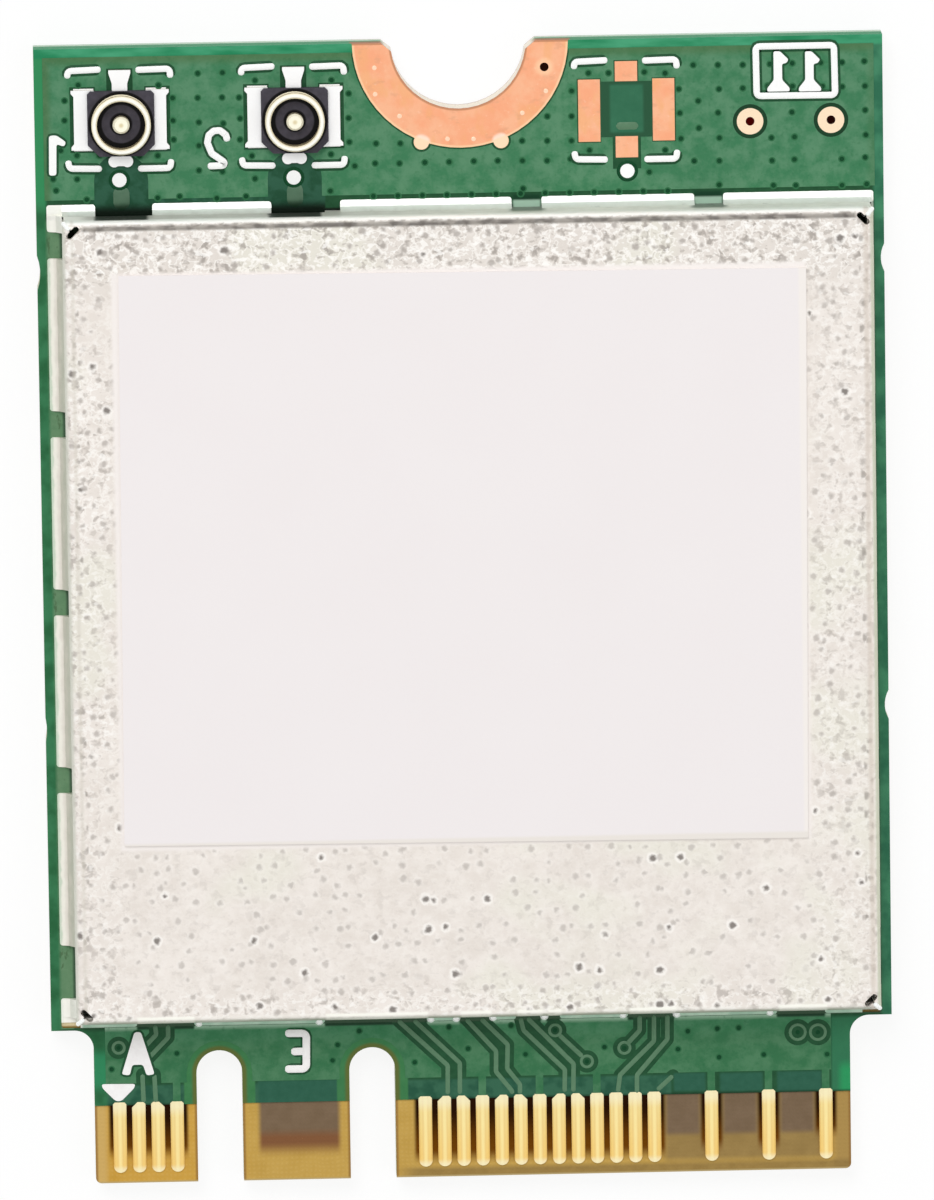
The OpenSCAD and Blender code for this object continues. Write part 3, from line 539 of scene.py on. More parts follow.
def sheet_edges(coat, mottle):
    """A white painted highlight along the upper bend and one along the lower bend, painted shade on the bends
    at the sides, and the walls below them in painted shade.
    """
    x, y, z = coat.x, coat.y, coat.z
    from_top = can_high - y
    dashes = coat.grain(4.5, 2, 0.5, coat.stretched(0.55, 1)).ramp(0.36, 0.62)
    dull_line = from_top.band(0.105, 0.245, 0.04) * x.band(can_left + 0.5, can_right - 0.45, 0.08)
    coat.over(dull_line * 0.92, dashes.blend((88, 82, 76), (148, 142, 134)))
    # Painted highlight along the upper bend
    coat.over(from_top.band(-0.2, 0.075, 0.03), (254, 254, 249))
    from_low = y - can_low
    gates = in_gates(coat)
    # Painted highlight along the lower bend, strongest over the gates; painted shade at the lowest edge,
    # deeper over the gates
    coat.over(from_low.band(0.11, 0.2, 0.035) * gates.between(0.25, 1.0), (255, 254, 244))
    coat.over(from_low.ramp(0.14, 0.04), gates.blend((166, 173, 157), (208, 212, 200)))
    # Painted shade on the bends at the sides
    from_right = can_right - x
    coat.over(from_right.band(0.13, 0.27, 0.05) * 0.6, (208, 196, 184))
    coat.over(from_right.ramp(0.13, 0.05) * 0.9, (204, 208, 184))
    from_left = x - can_left
    coat.over(from_left.band(0.2, 0.29, 0.05) * 0.5, (210, 204, 192))
    coat.over(from_left.ramp(0.11, 0.02) * 0.85, (206, 207, 194))
    # Painted shade: the walls greyer than the top and darker towards the left, lighter near the left corner
    wall = x.ramp(-6, 3).blend((202, 201, 193), (238, 239, 229))
    wall = (mottle * 0.25).blend(wall, (160, 158, 150))
    coat.over(z.ramp(1.95, 1.6), x.ramp(-9.6, -10.0).blend(wall, (246, 245, 238)))
    # Painted shade on the wall below the two land gaps
    by_gaps = any_of([x.band(low - 0.1, high + 0.1, 0.1) for low, high in land_gaps])
    coat.over(by_gaps * y.ramp(10.4, 10.6) * z.ramp(1.75, 1.3) * 0.85, (88, 102, 90))
    # Painted shade: near black on the wall over the antenna feeds, where its openings are
    by_feeds = any_of([x.band(feed_x - 0.72, feed_x + 0.66, 0.06) for feed_x in receptacle_xs])
    coat.over(by_feeds * y.ramp(10.3, 10.5) * z.ramp(1.95, 1.75) * 0.95, (14, 24, 16))


def make_sheet():
    """Tinned sheet steel: mottled and pitted, with a white painted highlight along the upper bend and a dull
    line inside that.
    """
    coat = Finish("tinned_sheet", 0.45, 0.2)
    x, y = coat.x, coat.y
    wide = coat.grain(0.5, 3, 0.5).ramp(0.4, 0.6)
    fine = coat.grain(2.6, 3, 0.6).ramp(0.36, 0.64)
    mottle = wide * 0.3 + fine * 0.7
    patches = coat.grain(0.35, 2).ramp(0.35, 0.6)
    top_side = y.ramp(8.4, 9.4)
    sides = any_of([x.ramp(-8.8, -9.5), x.ramp(8.7, 9.3) * 0.6])
    busy = any_of([top_side, sides * patches.between(0.3, 0.75), y.ramp(-9.4, -10.0) * 0.6])
    coat.colour = mottle.blend((228, 220, 212), (238, 231, 224))
    coat.over(top_side * 0.5, (218, 211, 203))
    coat.over(coat.grain(0.25, 2).ramp(0.54, 0.64) * 0.6, (230, 228, 214))
    pits = coat.grain(3.4, 2, 0.5, coat.warped(5, 0.3))
    coat.over(pits.band(0.485, 0.54, 0.035) * busy.between(0.1, 0.75), (255, 252, 247))
    holes = pits.ramp(0.55, 0.7) * busy.between(0.16, 0.85)
    coat.over(holes, (160, 152, 145))
    grit = coat.grain(5.5, 2, 0.5, coat.stretched(0.8, 1.2))
    coat.over(grit.ramp(0.43, 0.35) * busy.between(0.1, 0.7), (255, 253, 249))
    dull = grit.ramp(0.6, 0.68) * busy.between(0.12, 0.6)
    coat.over(dull, (176, 168, 160))
    bent = coat.warped(7, 0.14)
    faint, faint_rim = sheet_dots(coat, 2.4, 0.5, 0.085, bent)
    strong, strong_rim = sheet_dots(coat, 1.0, 0.3, 0.095, bent)
    row = sheet_dots(coat, 2.6, 0.75, 0.1, bent)[0]
    rows = any_of([x.band(10.27, 10.5, 0.03), x.band(-10.12, -9.95, 0.03)])
    coat.over(any_of([faint_rim * 0.25, strong_rim]) * 0.7, (252, 248, 243))
    coat.over(faint * busy.between(0.55, 0.8), (170, 162, 155))
    coat.over(row * rows * 0.65, (136, 128, 120))
    coat.over(strong * 0.9, (112, 104, 98))
    round_label = coat.patch(-9.1, -5.9, 8.88, 9.28, 0.07)
    coat.over(round_label, (242, 236, 232))
    sheet_edges(coat, mottle)
    flecks = any_of([strong, holes, dull])
    feed(coat.tree, coat.shader.inputs["Roughness"], flecks.between(0.42, 0.6))
    return coat.done(coat.grain(9, 4, 0.6) - flecks, 0.006)


def make_label():
    """Matt film, paler along its right and lower edges."""
    coat = Finish("label_film", 0.6, specular=0.25)
    coat.colour = coat.grain(0.4, 4).blend((240, 234, 234), (242, 237, 237))
    coat.over(coat.x.band(8.69, 9.5, 0.05), (245, 239, 234))
    coat.over(coat.y.ramp(-5.66, -5.76), (236, 230, 223))
    return coat.done(coat.grain(12, 4, 0.6), 0.003)


def from_pins(coat):
    """Distance from the nearer of the two receptacles' pins."""
    return coat.away(*pin_places[0]).calc("MINIMUM", coat.away(*pin_places[1]))


def make_plating():
    """Receptacle plating: near white gold on the collar, with a painted highlight round its top, and on the
    pin; white where solder climbed the tabs.
    """
    coat = Finish("receptacle_plating", 0.3, 0.25)
    radius = from_pins(coat)
    warm = coat.grain(6, 3).blend((236, 222, 184), (248, 238, 208))
    # Painted highlight: a white band round the top of the collar
    collar = radius.band(0.655, 0.745, 0.015).blend(warm, (255, 253, 243))
    pin = radius.ramp(0.02, 0.09).blend((226, 212, 172), (253, 249, 226))
    coat.colour = coat.grain(5, 3).blend((251, 250, 249), (255, 255, 255))
    coat.over(coat.z.ramp(0.92, 0.98), radius.ramp(0.3, 0.32).blend(pin, collar))
    coat.over(coat.upright() * 0.6, (150, 128, 84))
    return coat.done(coat.grain(8, 3), 0.004)


def make_insulator():
    """Receptacle plastic: grey, with black painted shade close to the metal on both of the collar's sides and
    round the pin.
    """
    coat = Finish("receptacle_plastic", 0.5, specular=0.12)
    grey = coat.grain(5, 3).blend((50, 48, 54), (84, 80, 90))
    black = (4, 3, 3)
    # Painted shade: black rings beside the collar and round the pin
    coat.colour = from_pins(coat).steps(black, (0.29, 0.02, grey), (0.5, 0.02, black), (0.85, 0.02, grey))
    return coat.done(coat.grain(10, 3), 0.004)


def make_moulding(name, low, high, roughness=0.5, speck=10.0, depth=0.004):
    """A moulded or fired body with a fine grain."""
    coat = Finish(name, roughness)
    coat.colour = coat.grain(speck, 4, 0.65).blend(low, high)
    return coat.done(coat.grain(speck * 2, 3), depth)


mask_over_copper = make_pour()
mask_over_track = make_track()
mask_over_feed = make_feed()
white_ink = make_ink()
# The darker margin along printed marks
mask_beside_ink = make_clouded("mask_beside_ink", (24, 66, 42), (42, 90, 58), 0.45, specular=0.1, scale=7,
                               detail=3)
# Mask sunk into a plated hole, and where it dips towards one
mask_in_hole = make_clouded("mask_in_hole", (6, 54, 30), (24, 78, 46), 0.5, specular=0.08)
mask_round_hole = make_clouded("mask_round_hole", (40, 98, 62), (56, 112, 74), 0.45, specular=0.1)
# Brighter copper over a plated hole in the ring, and white lumps of solder
hole_wall = make_clouded("hole_wall", (255, 206, 172), (255, 222, 194), 0.4, 0.3, scale=12)
solder_feet = make_clouded("solder_feet", (246, 252, 246), (255, 255, 255), 0.35, 0.2, scale=8)
hole_plug = make_hole_shade()
finishes = {
    "laminate": make_laminate(),
    "green_mask": make_mask(),
    "contact_gold": make_gold(),
    "bare_copper": make_copper(),
    "solder_tin": make_solder(),
    "tinned_sheet": make_sheet(),
    "label_film": make_label(),
    "receptacle_plating": make_plating(),
    "receptacle_plastic": make_insulator(),
    "package_black": make_moulding("package_black", (24, 24, 26), (36, 36, 38), 0.6, 14.0, 0.008),
    "pale_ceramic": make_moulding("pale_ceramic", (196, 188, 170), (214, 208, 192)),
    "dark_ceramic": make_moulding("dark_ceramic", (44, 40, 38), (62, 56, 52), 0.4),
    "tan_ceramic": make_moulding("tan_ceramic", (158, 126, 92), (182, 150, 112)),
    "ferrite": make_moulding("ferrite", (66, 66, 68), (88, 88, 90), 0.7),
}
for part in frame["record"]["subparts"]:
    cad_mesh = cad[part["node"]].data
    cad_mesh.materials.clear()
    cad_mesh.materials.append(finishes[part["material_slot"]])


# Geometry Nodes: lines along paths, and small discs on points


def new_tree(name, *inputs):
    """A tree that takes a mesh, the given numbers and a material, and the sockets of its input node."""
    tree = bpy.data.node_groups.new(name, "GeometryNodeTree")
    kinds = [("Geometry", "Geometry"), *((label, "Float") for label in inputs), ("Material", "Material")]
    for label, kind in kinds:
        tree.interface.new_socket(name=label, in_out="INPUT", socket_type="NodeSocket" + kind)
    tree.interface.new_socket(name="Geometry", in_out="OUTPUT", socket_type="NodeSocketGeometry")
    return tree, tree.nodes.new("NodeGroupInput").outputs


def close_tree(tree, geometry, material):
    realized = add_node(tree, "GeometryNodeRealizeInstances", Geometry=geometry)
    painted = add_node(tree, "GeometryNodeSetMaterial", Geometry=realized.outputs[0], Material=material)
    tree.links.new(painted.outputs[0], tree.nodes.new("NodeGroupOutput").inputs[0])


def make_line_tree():
    """A flat bar with bevelled edges along each path, round at its corners and ends."""
    tree, given = new_tree("line_on_board", "Width", "Height", "Corner", "Step")
    width, height = Pattern(tree, given["Width"]), Pattern(tree, given["Height"])
    curve = add_node(tree, "GeometryNodeMeshToCurve", Mesh=given["Geometry"])
    rounded = add_node(tree, "GeometryNodeFilletCurve", {"mode": "POLY"}, Curve=curve.outputs[0], Count=4,
                       Radius=given["Corner"], Limit_Radius=True)
    even = add_node(tree, "GeometryNodeResampleCurve", {"mode": "LENGTH"}, Curve=rounded.outputs[0],
                    Length=width * given["Step"])
    even_up = add_node(tree, "GeometryNodeSetCurveNormal", {"mode": "Z_UP"}, Curve=even.outputs[0])
    along = Pattern(tree, tree.nodes.new("GeometryNodeSplineParameter").outputs["Length"])
    total = Pattern(tree, tree.nodes.new("GeometryNodeSplineLength").outputs["Length"])
    to_end = along.calc("MINIMUM", total - along)
    before_end = 1.0 - to_end.calc("DIVIDE", width * 0.5).calc("MINIMUM", 1.0)
    round_end = (1.0 - before_end * before_end).calc("SQRT")
    narrowest_end = 0.12
    cyclic = tree.nodes.new("GeometryNodeInputSplineCyclic").outputs[0]
    profile = add_node(tree, "GeometryNodeCurvePrimitiveQuadrilateral", {"mode": "RECTANGLE"}, Width=width,
                       Height=height * 2.0)
    bevelled = add_node(tree, "GeometryNodeFilletCurve", {"mode": "POLY"}, Curve=profile.outputs[0], Count=1,
                        Radius=height * 0.8, Limit_Radius=True)
    scale = round_end.calc("MAXIMUM", narrowest_end).calc("MAXIMUM", cyclic)
    bar = add_node(tree, "GeometryNodeCurveToMesh", Curve=even_up.outputs[0],
                   Profile_Curve=bevelled.outputs[0], Scale=scale, Fill_Caps=True)
    close_tree(tree, bar.outputs[0], given["Material"])
    return tree


def make_disc_tree():
    """A low disc with a bevelled rim on each point."""
    tree, given = new_tree("discs_on_points", "Radius", "Height", "Rim")
    disc = add_node(tree, "GeometryNodeMeshCone", Vertices=18, Radius_Bottom=given["Radius"],
                    Radius_Top=Pattern(tree, given["Radius"]) * given["Rim"], Depth=given["Height"])
    placed = add_node(tree, "GeometryNodeInstanceOnPoints", Points=given["Geometry"],
                      Instance=disc.outputs["Mesh"])
    close_tree(tree, placed.outputs[0], given["Material"])
    return tree


line_tree = make_line_tree()
disc_tree = make_disc_tree()


def linked(name, data):
    piece = bpy.data.objects.new(name, data)
    bpy.context.scene.collection.objects.link(piece)
    return piece


def baked(source, name):
    """The evaluated object as a plain mesh of its own."""
    bpy.context.view_layer.update()
    evaluated = source.evaluated_get(bpy.context.evaluated_depsgraph_get())
    mesh = bpy.data.meshes.new_from_object(evaluated)
    mesh.name = name
    source.modifiers.clear()
    bpy.data.objects.remove(source)
    return mesh


def kept(name, mesh):
    """The finished piece on the card's one body."""
    piece = linked(name, mesh)
    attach(piece, "root")
    return piece


def run_tree(name, tree, points, edges, values):
    mesh = bpy.data.meshes.new(name + "_source")
    mesh.from_pydata(points, edges, [])
    source = linked(name + "_source", mesh)
    modifier = source.modifiers.new("build", "NODES")
    modifier.node_group = tree
    keys = {item.name: item.identifier for item in tree.interface.items_tree if item.in_out == "INPUT"}
    for label, value in values.items():
        modifier[keys[label]] = value
    return baked(source, name)


def lines(name, paths, width, height, material, corner=0.05, step=0.22):
    """Lines on the board, their sizes in mm; a path that ends where it starts is closed."""
    points, edges = [], []
    for path in paths:
        is_closed = path[0] == path[-1] and len(path) > 2
        places = path[:-1] if is_closed else path
        start = len(points)
        points += [(x * MM, y * MM, face_z * MM) for x, y in places]
        edges += [(start + i, start + i + 1) for i in range(len(places) - 1)]
        if is_closed:
            edges.append((len(points) - 1, start))
    values = {"Width": width * MM, "Height": height * MM, "Corner": corner * MM, "Step": step,
              "Material": material}
    return kept(name, run_tree(name, line_tree, points, edges, values))


def discs(name, places, radius, height, material, rim=0.9):
    """Discs at places given by x, y and z, their sizes in mm; rim is the top's share of the radius."""
    points = [(x * MM, y * MM, z * MM) for x, y, z in places]
    values = {"Radius": radius * MM, "Height": height * MM, "Rim": rim, "Material": material}
    return kept(name, run_tree(name, disc_tree, points, [], values))


def at_height(places, z=face_z):
    return [(x, y, z) for x, y in places]


# Flat plates


def circle(x, y, radius, count=28, start=0.0, sweep=360.0):
    """Points along a circle, or along an arc that starts at an angle and sweeps over another."""
    last = count if sweep < 360 else count - 1
    return [(x + radius * math.cos(math.radians(start + sweep * i / count)),
             y + radius * math.sin(math.radians(start + sweep * i / count))) for i in range(last + 1)]


def box(x0, y0, x1, y1):
    return [(x0, y0), (x1, y0), (x1, y1), (x0, y1)]


def capsule(start, end, radius, count=10):
    """Outline of a straight line with round ends."""
    angle = math.degrees(math.atan2(end[1] - start[1], end[0] - start[0]))
    return circle(*start, radius, count, angle + 90, 180) + circle(*end, radius, count, angle - 90, 180)


def closed(outlines):
    return [outline + outline[:1] for outline in outlines]


def softened(outline, radius, count=4):
    """The outline with rounded corners."""
    result = []
    for i, (x, y) in enumerate(outline):
        ends = []
        for other in (outline[i - 1], outline[(i + 1) % len(outline)]):
            share = min(radius / math.dist((x, y), other), 0.45)
            ends.append((x + (other[0] - x) * share, y + (other[1] - y) * share))
        for k in range(count + 1):
            t = k / count
            weights = ((1 - t) ** 2, 2 * t * (1 - t), t ** 2)
            result.append(tuple(sum(w * point[axis] for w, point in zip(weights, (ends[0], (x, y), ends[1])))
                                for axis in (0, 1)))
    return result


def slab(shape, outline, low, high):
    """Adds a closed plate to a bmesh."""
    area = sum(x0 * y1 - x1 * y0 for (x0, y0), (x1, y1) in zip(outline, outline[1:] + outline[:1]))
    if area < 0:
        outline = outline[::-1]
    under, over = ([shape.verts.new((x * MM, y * MM, z * MM)) for x, y in outline] for z in (low, high))
    shape.faces.new(under[::-1])
    shape.faces.new(over)
    for i in range(len(outline)):
        j = (i + 1) % len(outline)
        shape.faces.new((under[i], under[j], over[j], over[i]))


def plates(name, outlines, low, high):
    """One mesh of closed plates between two heights."""
    shape = bmesh.new()
    for outline in outlines:
        slab(shape, outline, low, high)
    mesh = bpy.data.meshes.new(name)
    shape.to_mesh(mesh)
    shape.free()
    return mesh


def carved(name, outlines, cuts, low, high, material):
    """Plates with openings cut through them."""
    plate = linked(name + "_plate", plates(name, outlines, low, high))
    cutter = linked(name + "_cuts", plates(name + "_cuts", cuts, low - 0.01, high + 0.01))
    cutting = plate.modifiers.new("cut", "BOOLEAN")
    cutting.operation = "DIFFERENCE"
    cutting.solver = "EXACT"
    cutting.use_self = True
    cutting.object = cutter
    mesh = baked(plate, name)
    bpy.data.objects.remove(cutter)
    mesh.materials.clear()
    mesh.materials.append(material)
    return kept(name, mesh)


# Copper under the mask

track_paths = [
    [(-1.932, -10.8), (-0.648, -12.026), (-0.658, -12.8)],
    [(-1.515, -10.8), (-0.329, -11.969), (-0.341, -12.8)],
    [(-0.15, -10.8), (0.623, -11.669), (0.615, -12.222), (1.026, -12.742), (1.03, -12.83)],
    [(0.24, -10.8), (0.93, -11.5), (0.908, -12.143), (1.237, -12.576), (1.233, -12.83)],
    [(1.27, -10.8), (1.35, -11.13), (2.42, -12.2), (2.404, -12.8)],
    [(1.45, -10.8), (2.65, -12.05), (2.634, -12.8)],
    [(2.28, -11.27), (2.89, -11.87)],
    [(4.395, -10.8), (4.391, -11.195), (4.07, -11.54)],
    [(4.769, -10.8), (4.761, -11.488), (3.861, -12.376), (3.8, -12.83)],
    [(5.12, -10.8), (5.113, -11.448), (4.306, -12.385), (4.3, -12.86)],
    [(-8.29, -10.8), (-8.26, -11.05), (-8.62, -11.42)],
    [(-7.95, -10.8), (-7.95, -11.13), (-8.48, -11.68)],
    [(-8.64, -12.1), (-8.62, -12.85)],
    [(-8.33, -12.1), (-8.3, -12.85)],
    [(5.25, -12.42), (4.83, -12.8)],
]
ring_vias = [(2.175, -11.148), (2.999, -11.995), (3.985, -11.653), (-9.25, -11.38)]
eye_vias = [(8.531, -11.327), (9.059, -11.338)]
tongue_vias = [(-1.51, -11.923), (-0.107, -11.59), (1.394, -11.77), (1.028, -10.996), (3.463, -11.621),
               (-0.6, -11.006), (5.39, -11.716), (5.653, -11.244), (6.426, -11.189), (6.988, -11.177),
               (6.464, -11.953), (7.635, -11.905), (9.297, -11.93), (-2.95, -11.06), (-3.52, -11.42),
               (-3.66, -11.83), (-7.73, -11.56), (-9.44, -11.95)]
screw_end_vias = [
    (6.09, 14.28), (6.73, 14.27), (7.375, 14.26), (9.95, 14.28), (10.53, 14.3), (6.75, 13.64),
    (7.37, 13.65), (9.95, 13.64), (10.54, 13.65), (6.21, 13.34), (6.72, 13.02), (8.64, 13.0),
    (10.54, 13.02), (6.22, 12.63), (6.75, 12.36), (8.1, 12.34), (8.7, 12.35), (10.55, 12.37), (6.09, 11.77),
    (6.74, 11.76), (8.11, 11.74), (8.69, 11.76), (8.08, 14.27), (8.66, 14.28), (9.4, 14.28), (8.02, 13.7),
    (8.66, 13.68), (9.44, 13.66), (9.92, 11.75), (10.53, 11.78), (6.73, 11.13), (8.14, 11.09),
    (8.72, 11.08), (9.92, 11.06), (10.56, 11.08), (2.93, 13.66), (2.92, 13.0), (2.91, 12.36), (2.88, 11.88),
    (3.37, 14.12), (3.89, 14.11), (4.82, 14.12), (5.36, 14.08), (5.71, 13.66), (5.73, 13.03), (5.75, 12.36),
    (4.92, 11.5), (5.34, 12.07), (3.37, 12.1), (-2.16, 12.38), (-1.53, 12.37), (1.63, 12.38), (2.28, 12.37),
    (-2.19, 11.86), (-1.56, 11.85), (-0.9, 11.86), (-0.27, 11.86), (0.37, 11.87), (0.99, 11.87),
    (1.63, 11.86), (2.27, 11.85), (1.64, 11.13), (2.29, 13.01), (-6.75, 14.3), (-6.11, 14.31),
    (-6.76, 13.66), (-6.13, 13.66), (-5.69, 13.65), (-7.41, 13.67), (-7.41, 13.08), (-7.4, 12.58),
    (-6.74, 13.02), (-6.75, 12.41), (-6.11, 12.98), (-5.67, 13.1), (-5.68, 12.55), (-6.76, 11.76),
    (-6.15, 11.72), (-10.21, 13.65), (-10.22, 13.13), (-10.33, 12.35), (-10.54, 11.6), (-9.92, 11.59),
    (-9.91, 12.21), (-9.33, 12.2), (-8.29, 12.16), (-7.82, 12.17), (-9.85, 14.05), (-7.77, 14.01),
    (-7.27, 11.09), (-5.55, 11.06), (-6.31, 11.02), (-7.84, 11.06), (-9.68, 11.05), (-5.31, 11.52),
    (-3.36, 11.16), (-5.38, 12.12), (-3.33, 12.12), (-5.27, 14.09), (-3.29, 14.06), (-2.85, 13.7),
    (-2.86, 13.06), (-2.85, 12.43), (-2.72, 11.8), (-10.47, 11.3),
]
screw_end_vias += [(-2.25 + k * 0.637, 11.0) for k in range(13)]


def footprint_openings(x, gap):
    """The four pads of a receptacle with that gap around them."""
    pads = [(-1.25, -0.81, -0.69, 0.81), (0.69, -0.81, 1.25, 0.81), (-0.29, 0.76, 0.29, 1.28),
            (-0.29, -1.24, 0.29, -0.69)]
    return [box(x + left - gap, receptacle_y + low - gap, x + right + gap, receptacle_y + high + gap)
            for left, low, right, high in pads]


pour_top = 0.806
track_opening_r = 0.17
ring_via_opening_r = 0.3
eye_via_opening_r = 0.35
notch_clearance = 0.26
ring_clearance = 0.04
lobe_shift, lobe_y, lobe_opening_r = 1.03, 12.4, 0.26
feed_opening_half_w = 0.7
test_opening_r = 0.45
dot_opening_r = 0.28
spare_square = box(3.67, 12.43, 5.02, 13.89)
spare_neck = box(3.98, 11.6, 4.71, 12.6)
openings = [capsule(a, b, track_opening_r) for path in track_paths for a, b in zip(path, path[1:])]
openings += [circle(x, y, ring_via_opening_r) for x, y in ring_vias]
openings += [circle(x, y, eye_via_opening_r) for x, y in eye_vias]
openings += [capsule((x, -16), (x, notch_end_y), notch_r + notch_clearance) for x in notch_xs]
openings.append(circle(*ring_middle, ring_r + ring_clearance, 72))
openings += [circle(ring_middle[0] + x, lobe_y, lobe_opening_r) for x in (-lobe_shift, lobe_shift)]
for x, dot in zip(receptacle_xs, marker_dots):
    openings.append(box(x - feed_opening_half_w, 10.5, x + feed_opening_half_w, dot[1]))
    openings.append(circle(x, dot[1], feed_opening_half_w))
    openings += footprint_openings(x, 0.05)
openings += [*footprint_openings(spare_x, 0.03), spare_square, spare_neck]
openings += [circle(x, test_y, test_opening_r) for x in test_points_x]
openings += [circle(x, y, dot_opening_r) for x, y in marker_dots]
pour_outlines = [box(-10.77, 11.04, 10.77, 14.77), box(-9.6, -12.34, 9.4, -10.84)]
grounded_pins = (7, 39, 45, 51, 63, 69, 75)
pour_outlines += [box(contact_x(p) - 0.1, -12.84, contact_x(p) + 0.1, -12.34) for p in grounded_pins]
carved("ground_pour", pour_outlines, openings, face_z, pour_top, mask_over_copper)

track_width = 0.12
track_height = 0.006
ring_width = 0.075
feed_width = 0.42
feed_height = 0.004
lines("tracks", track_paths, track_width, track_height, mask_over_track, 0.08)
rings = [circle(*via, 0.15, 16) for via in ring_vias] + [circle(*via, 0.2, 16) for via in eye_vias]
lines("ring_vias", closed(rings), ring_width, track_height, mask_over_track, 0.0)
feed_lines = [[(x, 10.75), (x, 11.4)] for x in receptacle_xs]
lines("antenna_feeds", feed_lines, feed_width, feed_height, mask_over_feed)
lines("spare_feed", [[(4.07, 12.72), (4.65, 12.72)]], 0.2, feed_height, mask_over_track)
via_height = 0.002
sunk = tongue_vias + screw_end_vias
discs("via_rims", at_height(sunk, pour_top - 0.0006), 0.105, via_height, mask_round_hole, rim=0.7)
discs("covered_vias", at_height(sunk, pour_top + 0.0002), 0.075, via_height, mask_in_hole, rim=0.7)
discs("ring_via_centres", at_height(ring_vias + eye_vias), 0.06, 0.004, mask_in_hole, rim=0.7)
dimples = [(-2.175, 14.358), (-2.164, 13.669), (-1.541, 13.083), (-0.306, 12.464), (0.369, 12.451),
           (1.643, 13.108), (2.262, 13.671)]
discs("ring_dimples", at_height(dimples), 0.06, 0.004, hole_wall, 0.85)
# Painted shade: dark discs over the open plated holes
hole_shade_places = [(x, test_y) for x in test_points_x] + [open_via]
discs("hole_plugs", at_height(hole_shade_places), 0.115, via_height, hole_plug)

# Solder at the strips towards the tongue and in the can's corners

feet = [(-7.14, -10.76), (-3.99, -10.78), (-1.07, -10.77), (-0.41, -10.77), (0.56, -10.76), (1.9, -10.76),
        (3.96, -10.76), (5.37, -10.77), (7.81, -10.77)]
discs("strip_feet", at_height(feet), 0.11, 0.05, solder_feet, 0.6)
seam_beads = []
for corner_x, inward_x in ((can_left, 1), (can_right, -1)):
    for corner_y, inward_y in ((can_low, 1), (can_high, -1)):
        for inset, drop in ((0.155, 0.01), (0.115, 0.035), (0.075, 0.075), (0.04, 0.13)):
            seam_beads.append((corner_x + inward_x * inset, corner_y + inward_y * inset, can_top_z - drop))
discs("seam_beads", seam_beads, 0.06, 0.03, solder_feet, 0.6)

# Printed marks

ink_height = 0.016
shade_height = 0.009
ink_step = 0.1


def bracket_paths(x):
    """Four corners round a receptacle."""
    left, right, top, bottom = x - 1.35, x + 1.3, 14.44, 11.86
    return [[(left, top - 0.22), (left + 0.01, top - 0.02), (left + 0.88, top + 0.01)],
            [(right - 0.89, top - 0.02), (right, top), (right + 0.02, top - 0.25)],
            [(left - 0.02, bottom + 0.23), (left + 0.02, bottom + 0.01), (left + 0.86, bottom - 0.01)],
            [(right - 0.86, bottom - 0.02), (right - 0.02, bottom - 0.02), (right + 0.01, bottom + 0.22)]]


def mirrored_one(x, top, bottom):
    """A reversed figure one with a flag and a foot."""
    return [(x - 0.11, top), (x + 0.06, top), (x + 0.28, top - 0.22), (x + 0.22, top - 0.31),
            (x + 0.11, top - 0.33), (x + 0.11, bottom + 0.27), (x + 0.3, bottom + 0.06),
            (x + 0.3, bottom - 0.03), (x - 0.28, bottom - 0.03), (x - 0.28, bottom + 0.06),
            (x - 0.11, bottom + 0.27)]


def ink_plates(name, outlines, radius):
    mesh = plates(name, [softened(outline, radius) for outline in outlines], face_z, face_z + ink_height)
    mesh.materials.append(white_ink)
    return kept(name, mesh)


brackets = [path for x in (*receptacle_xs, spare_x) for path in bracket_paths(x)]
lines("ink_brackets", brackets, 0.175, ink_height, white_ink, 0.1, ink_step)
frame_path = [(7.715, 14.735), (9.745, 14.735), (9.765, 13.43), (7.73, 13.44), (7.715, 14.735)]
lines("ink_frame", [frame_path], 0.18, ink_height, white_ink, 0.1)
digit_two = [(-6.0, 12.5), (-6.05, 12.68), (-6.2, 12.8), (-6.36, 12.79), (-6.49, 12.68), (-6.53, 12.48),
             (-6.42, 12.2), (-5.98, 11.88), (-6.54, 11.87)]
lines("ink_two", [digit_two], 0.185, ink_height, white_ink, 0.06, ink_step)
digit_one = [(-10.63, 12.74), (-10.44, 12.75), (-10.19, 12.57), (-10.24, 12.45), (-10.44, 12.52),
             (-10.455, 11.7), (-10.645, 11.7)]
letter_a = [(-8.83, -10.97), (-8.66, -10.97), (-8.32, -12.1), (-8.53, -12.13), (-8.62, -11.84),
            (-8.9, -11.84), (-8.97, -12.12), (-9.18, -12.09)]
ink_plates("ink_one", [digit_one, letter_a], 0.07)
letter_e = [[(-4.9, -11.083), (-4.335, -11.09), (-4.35, -12.04), (-4.915, -12.036)],
            [(-4.343, -11.57), (-4.75, -11.574)]]
lines("ink_letter_e", letter_e, 0.21, ink_height, white_ink, 0.12, ink_step)
elevens = [mirrored_one(8.285, 14.6, 13.58), mirrored_one(9.103, 14.585, 13.57)]
ink_plates("ink_elevens", elevens, 0.05)
discs("ink_dots", at_height(marker_dots), 0.2, ink_height, white_ink)
shaded_paths = [*brackets, frame_path, digit_two, *letter_e]
lines("ink_shades", shaded_paths, 0.31, shade_height, mask_beside_ink, 0.08)
ones = [softened(outline, 0.06) for outline in (digit_one, letter_a, *elevens)]
lines("ink_outline_shades", closed(ones), 0.13, shade_height, mask_beside_ink, 0.0, 0.5)
discs("dot_shades", at_height(marker_dots), 0.28, shade_height, mask_in_hole)
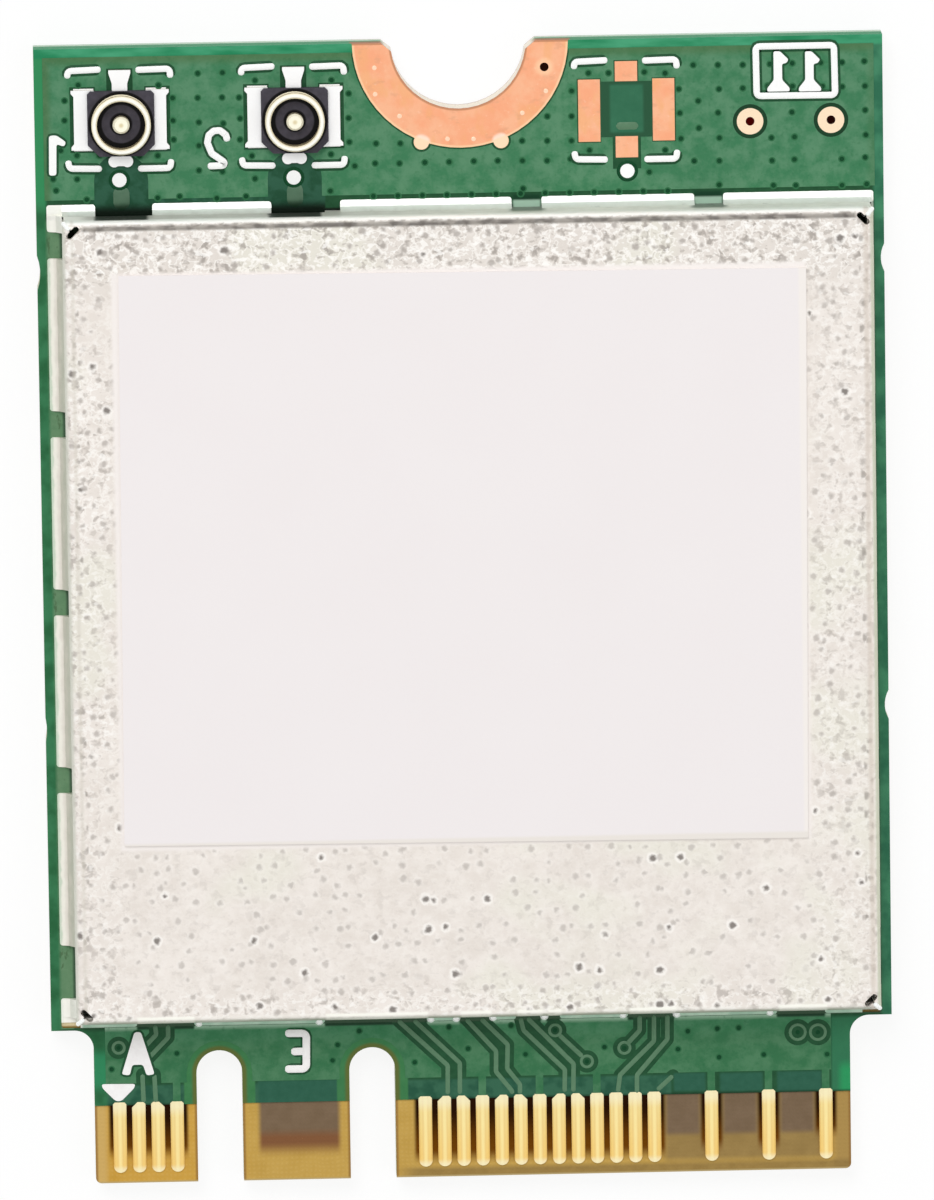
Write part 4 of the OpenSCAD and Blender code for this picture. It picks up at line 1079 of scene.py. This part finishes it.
arrow = [(-9.71, -12.34), (-8.83, -12.35), (-8.86, -12.46), (-9.2, -12.8), (-9.35, -12.8), (-9.69, -12.45)]
ink_plates("ink_arrow", [arrow], 0.08)

# Camera, lights and floor

camera_data = bpy.data.cameras.new("camera")
camera_data.sensor_width = 36
camera_data.lens = 494.361
camera = linked("camera", camera_data)
camera.location = (-0.0125829, 0.0740452, 0.4234352)
camera.rotation_euler = (-0.1721792, -0.0322778, -0.0140277)
bpy.context.scene.camera = camera
bpy.context.scene.view_settings.view_transform = "Standard"


def shown_directly(tree):
    """1 for rays from the camera and for those that a glossy or clear surface sends on."""
    rays = tree.nodes.new("ShaderNodeLightPath").outputs
    kinds = ("Is Camera Ray", "Is Glossy Ray", "Is Transmission Ray")
    return any_of([Pattern(tree, rays[kind]) for kind in kinds])


light_on_card = 0.63
world = bpy.data.worlds.new("studio")
bpy.context.scene.world = world
world.use_nodes = True
sky = world.node_tree
background = sky.nodes["Background"]
background.inputs["Color"].default_value = (1, 1, 1, 1)
feed(sky, background.inputs["Strength"], shown_directly(sky).between(light_on_card, 1.0))


def lamp(name, place, size, power):
    data = bpy.data.lights.new(name, "AREA")
    data.size = size
    data.energy = power
    light = linked(name, data)
    light.location = place
    light.rotation_euler = (-light.location).to_track_quat("-Z", "Y").to_euler()


lamp("key", (-0.12, 0.3, 0.42), 0.25, 1.1)
lamp("fill", (0.3, -0.05, 0.4), 0.3, 0.25)

glow_share = 0.85
floor = Finish("pale_floor", 0.9)
floor.colour = (255, 255, 255)
floor_material = floor.done()
glow = floor.add("ShaderNodeEmission", Strength=1.0)
mixed = floor.add("ShaderNodeMixShader")
for socket, value in zip(mixed.inputs, (shown_directly(floor.tree) * glow_share, floor.shader.outputs[0],
                                        glow.outputs[0])):
    feed(floor.tree, socket, value)
feed(floor.tree, floor.tree.nodes["Material Output"].inputs["Surface"], mixed.outputs[0])
floor_reach = 400
ground = linked("floor", plates("floor", [box(-floor_reach, -floor_reach, floor_reach, floor_reach)], -2, 0))
ground.data.materials.append(floor_material)
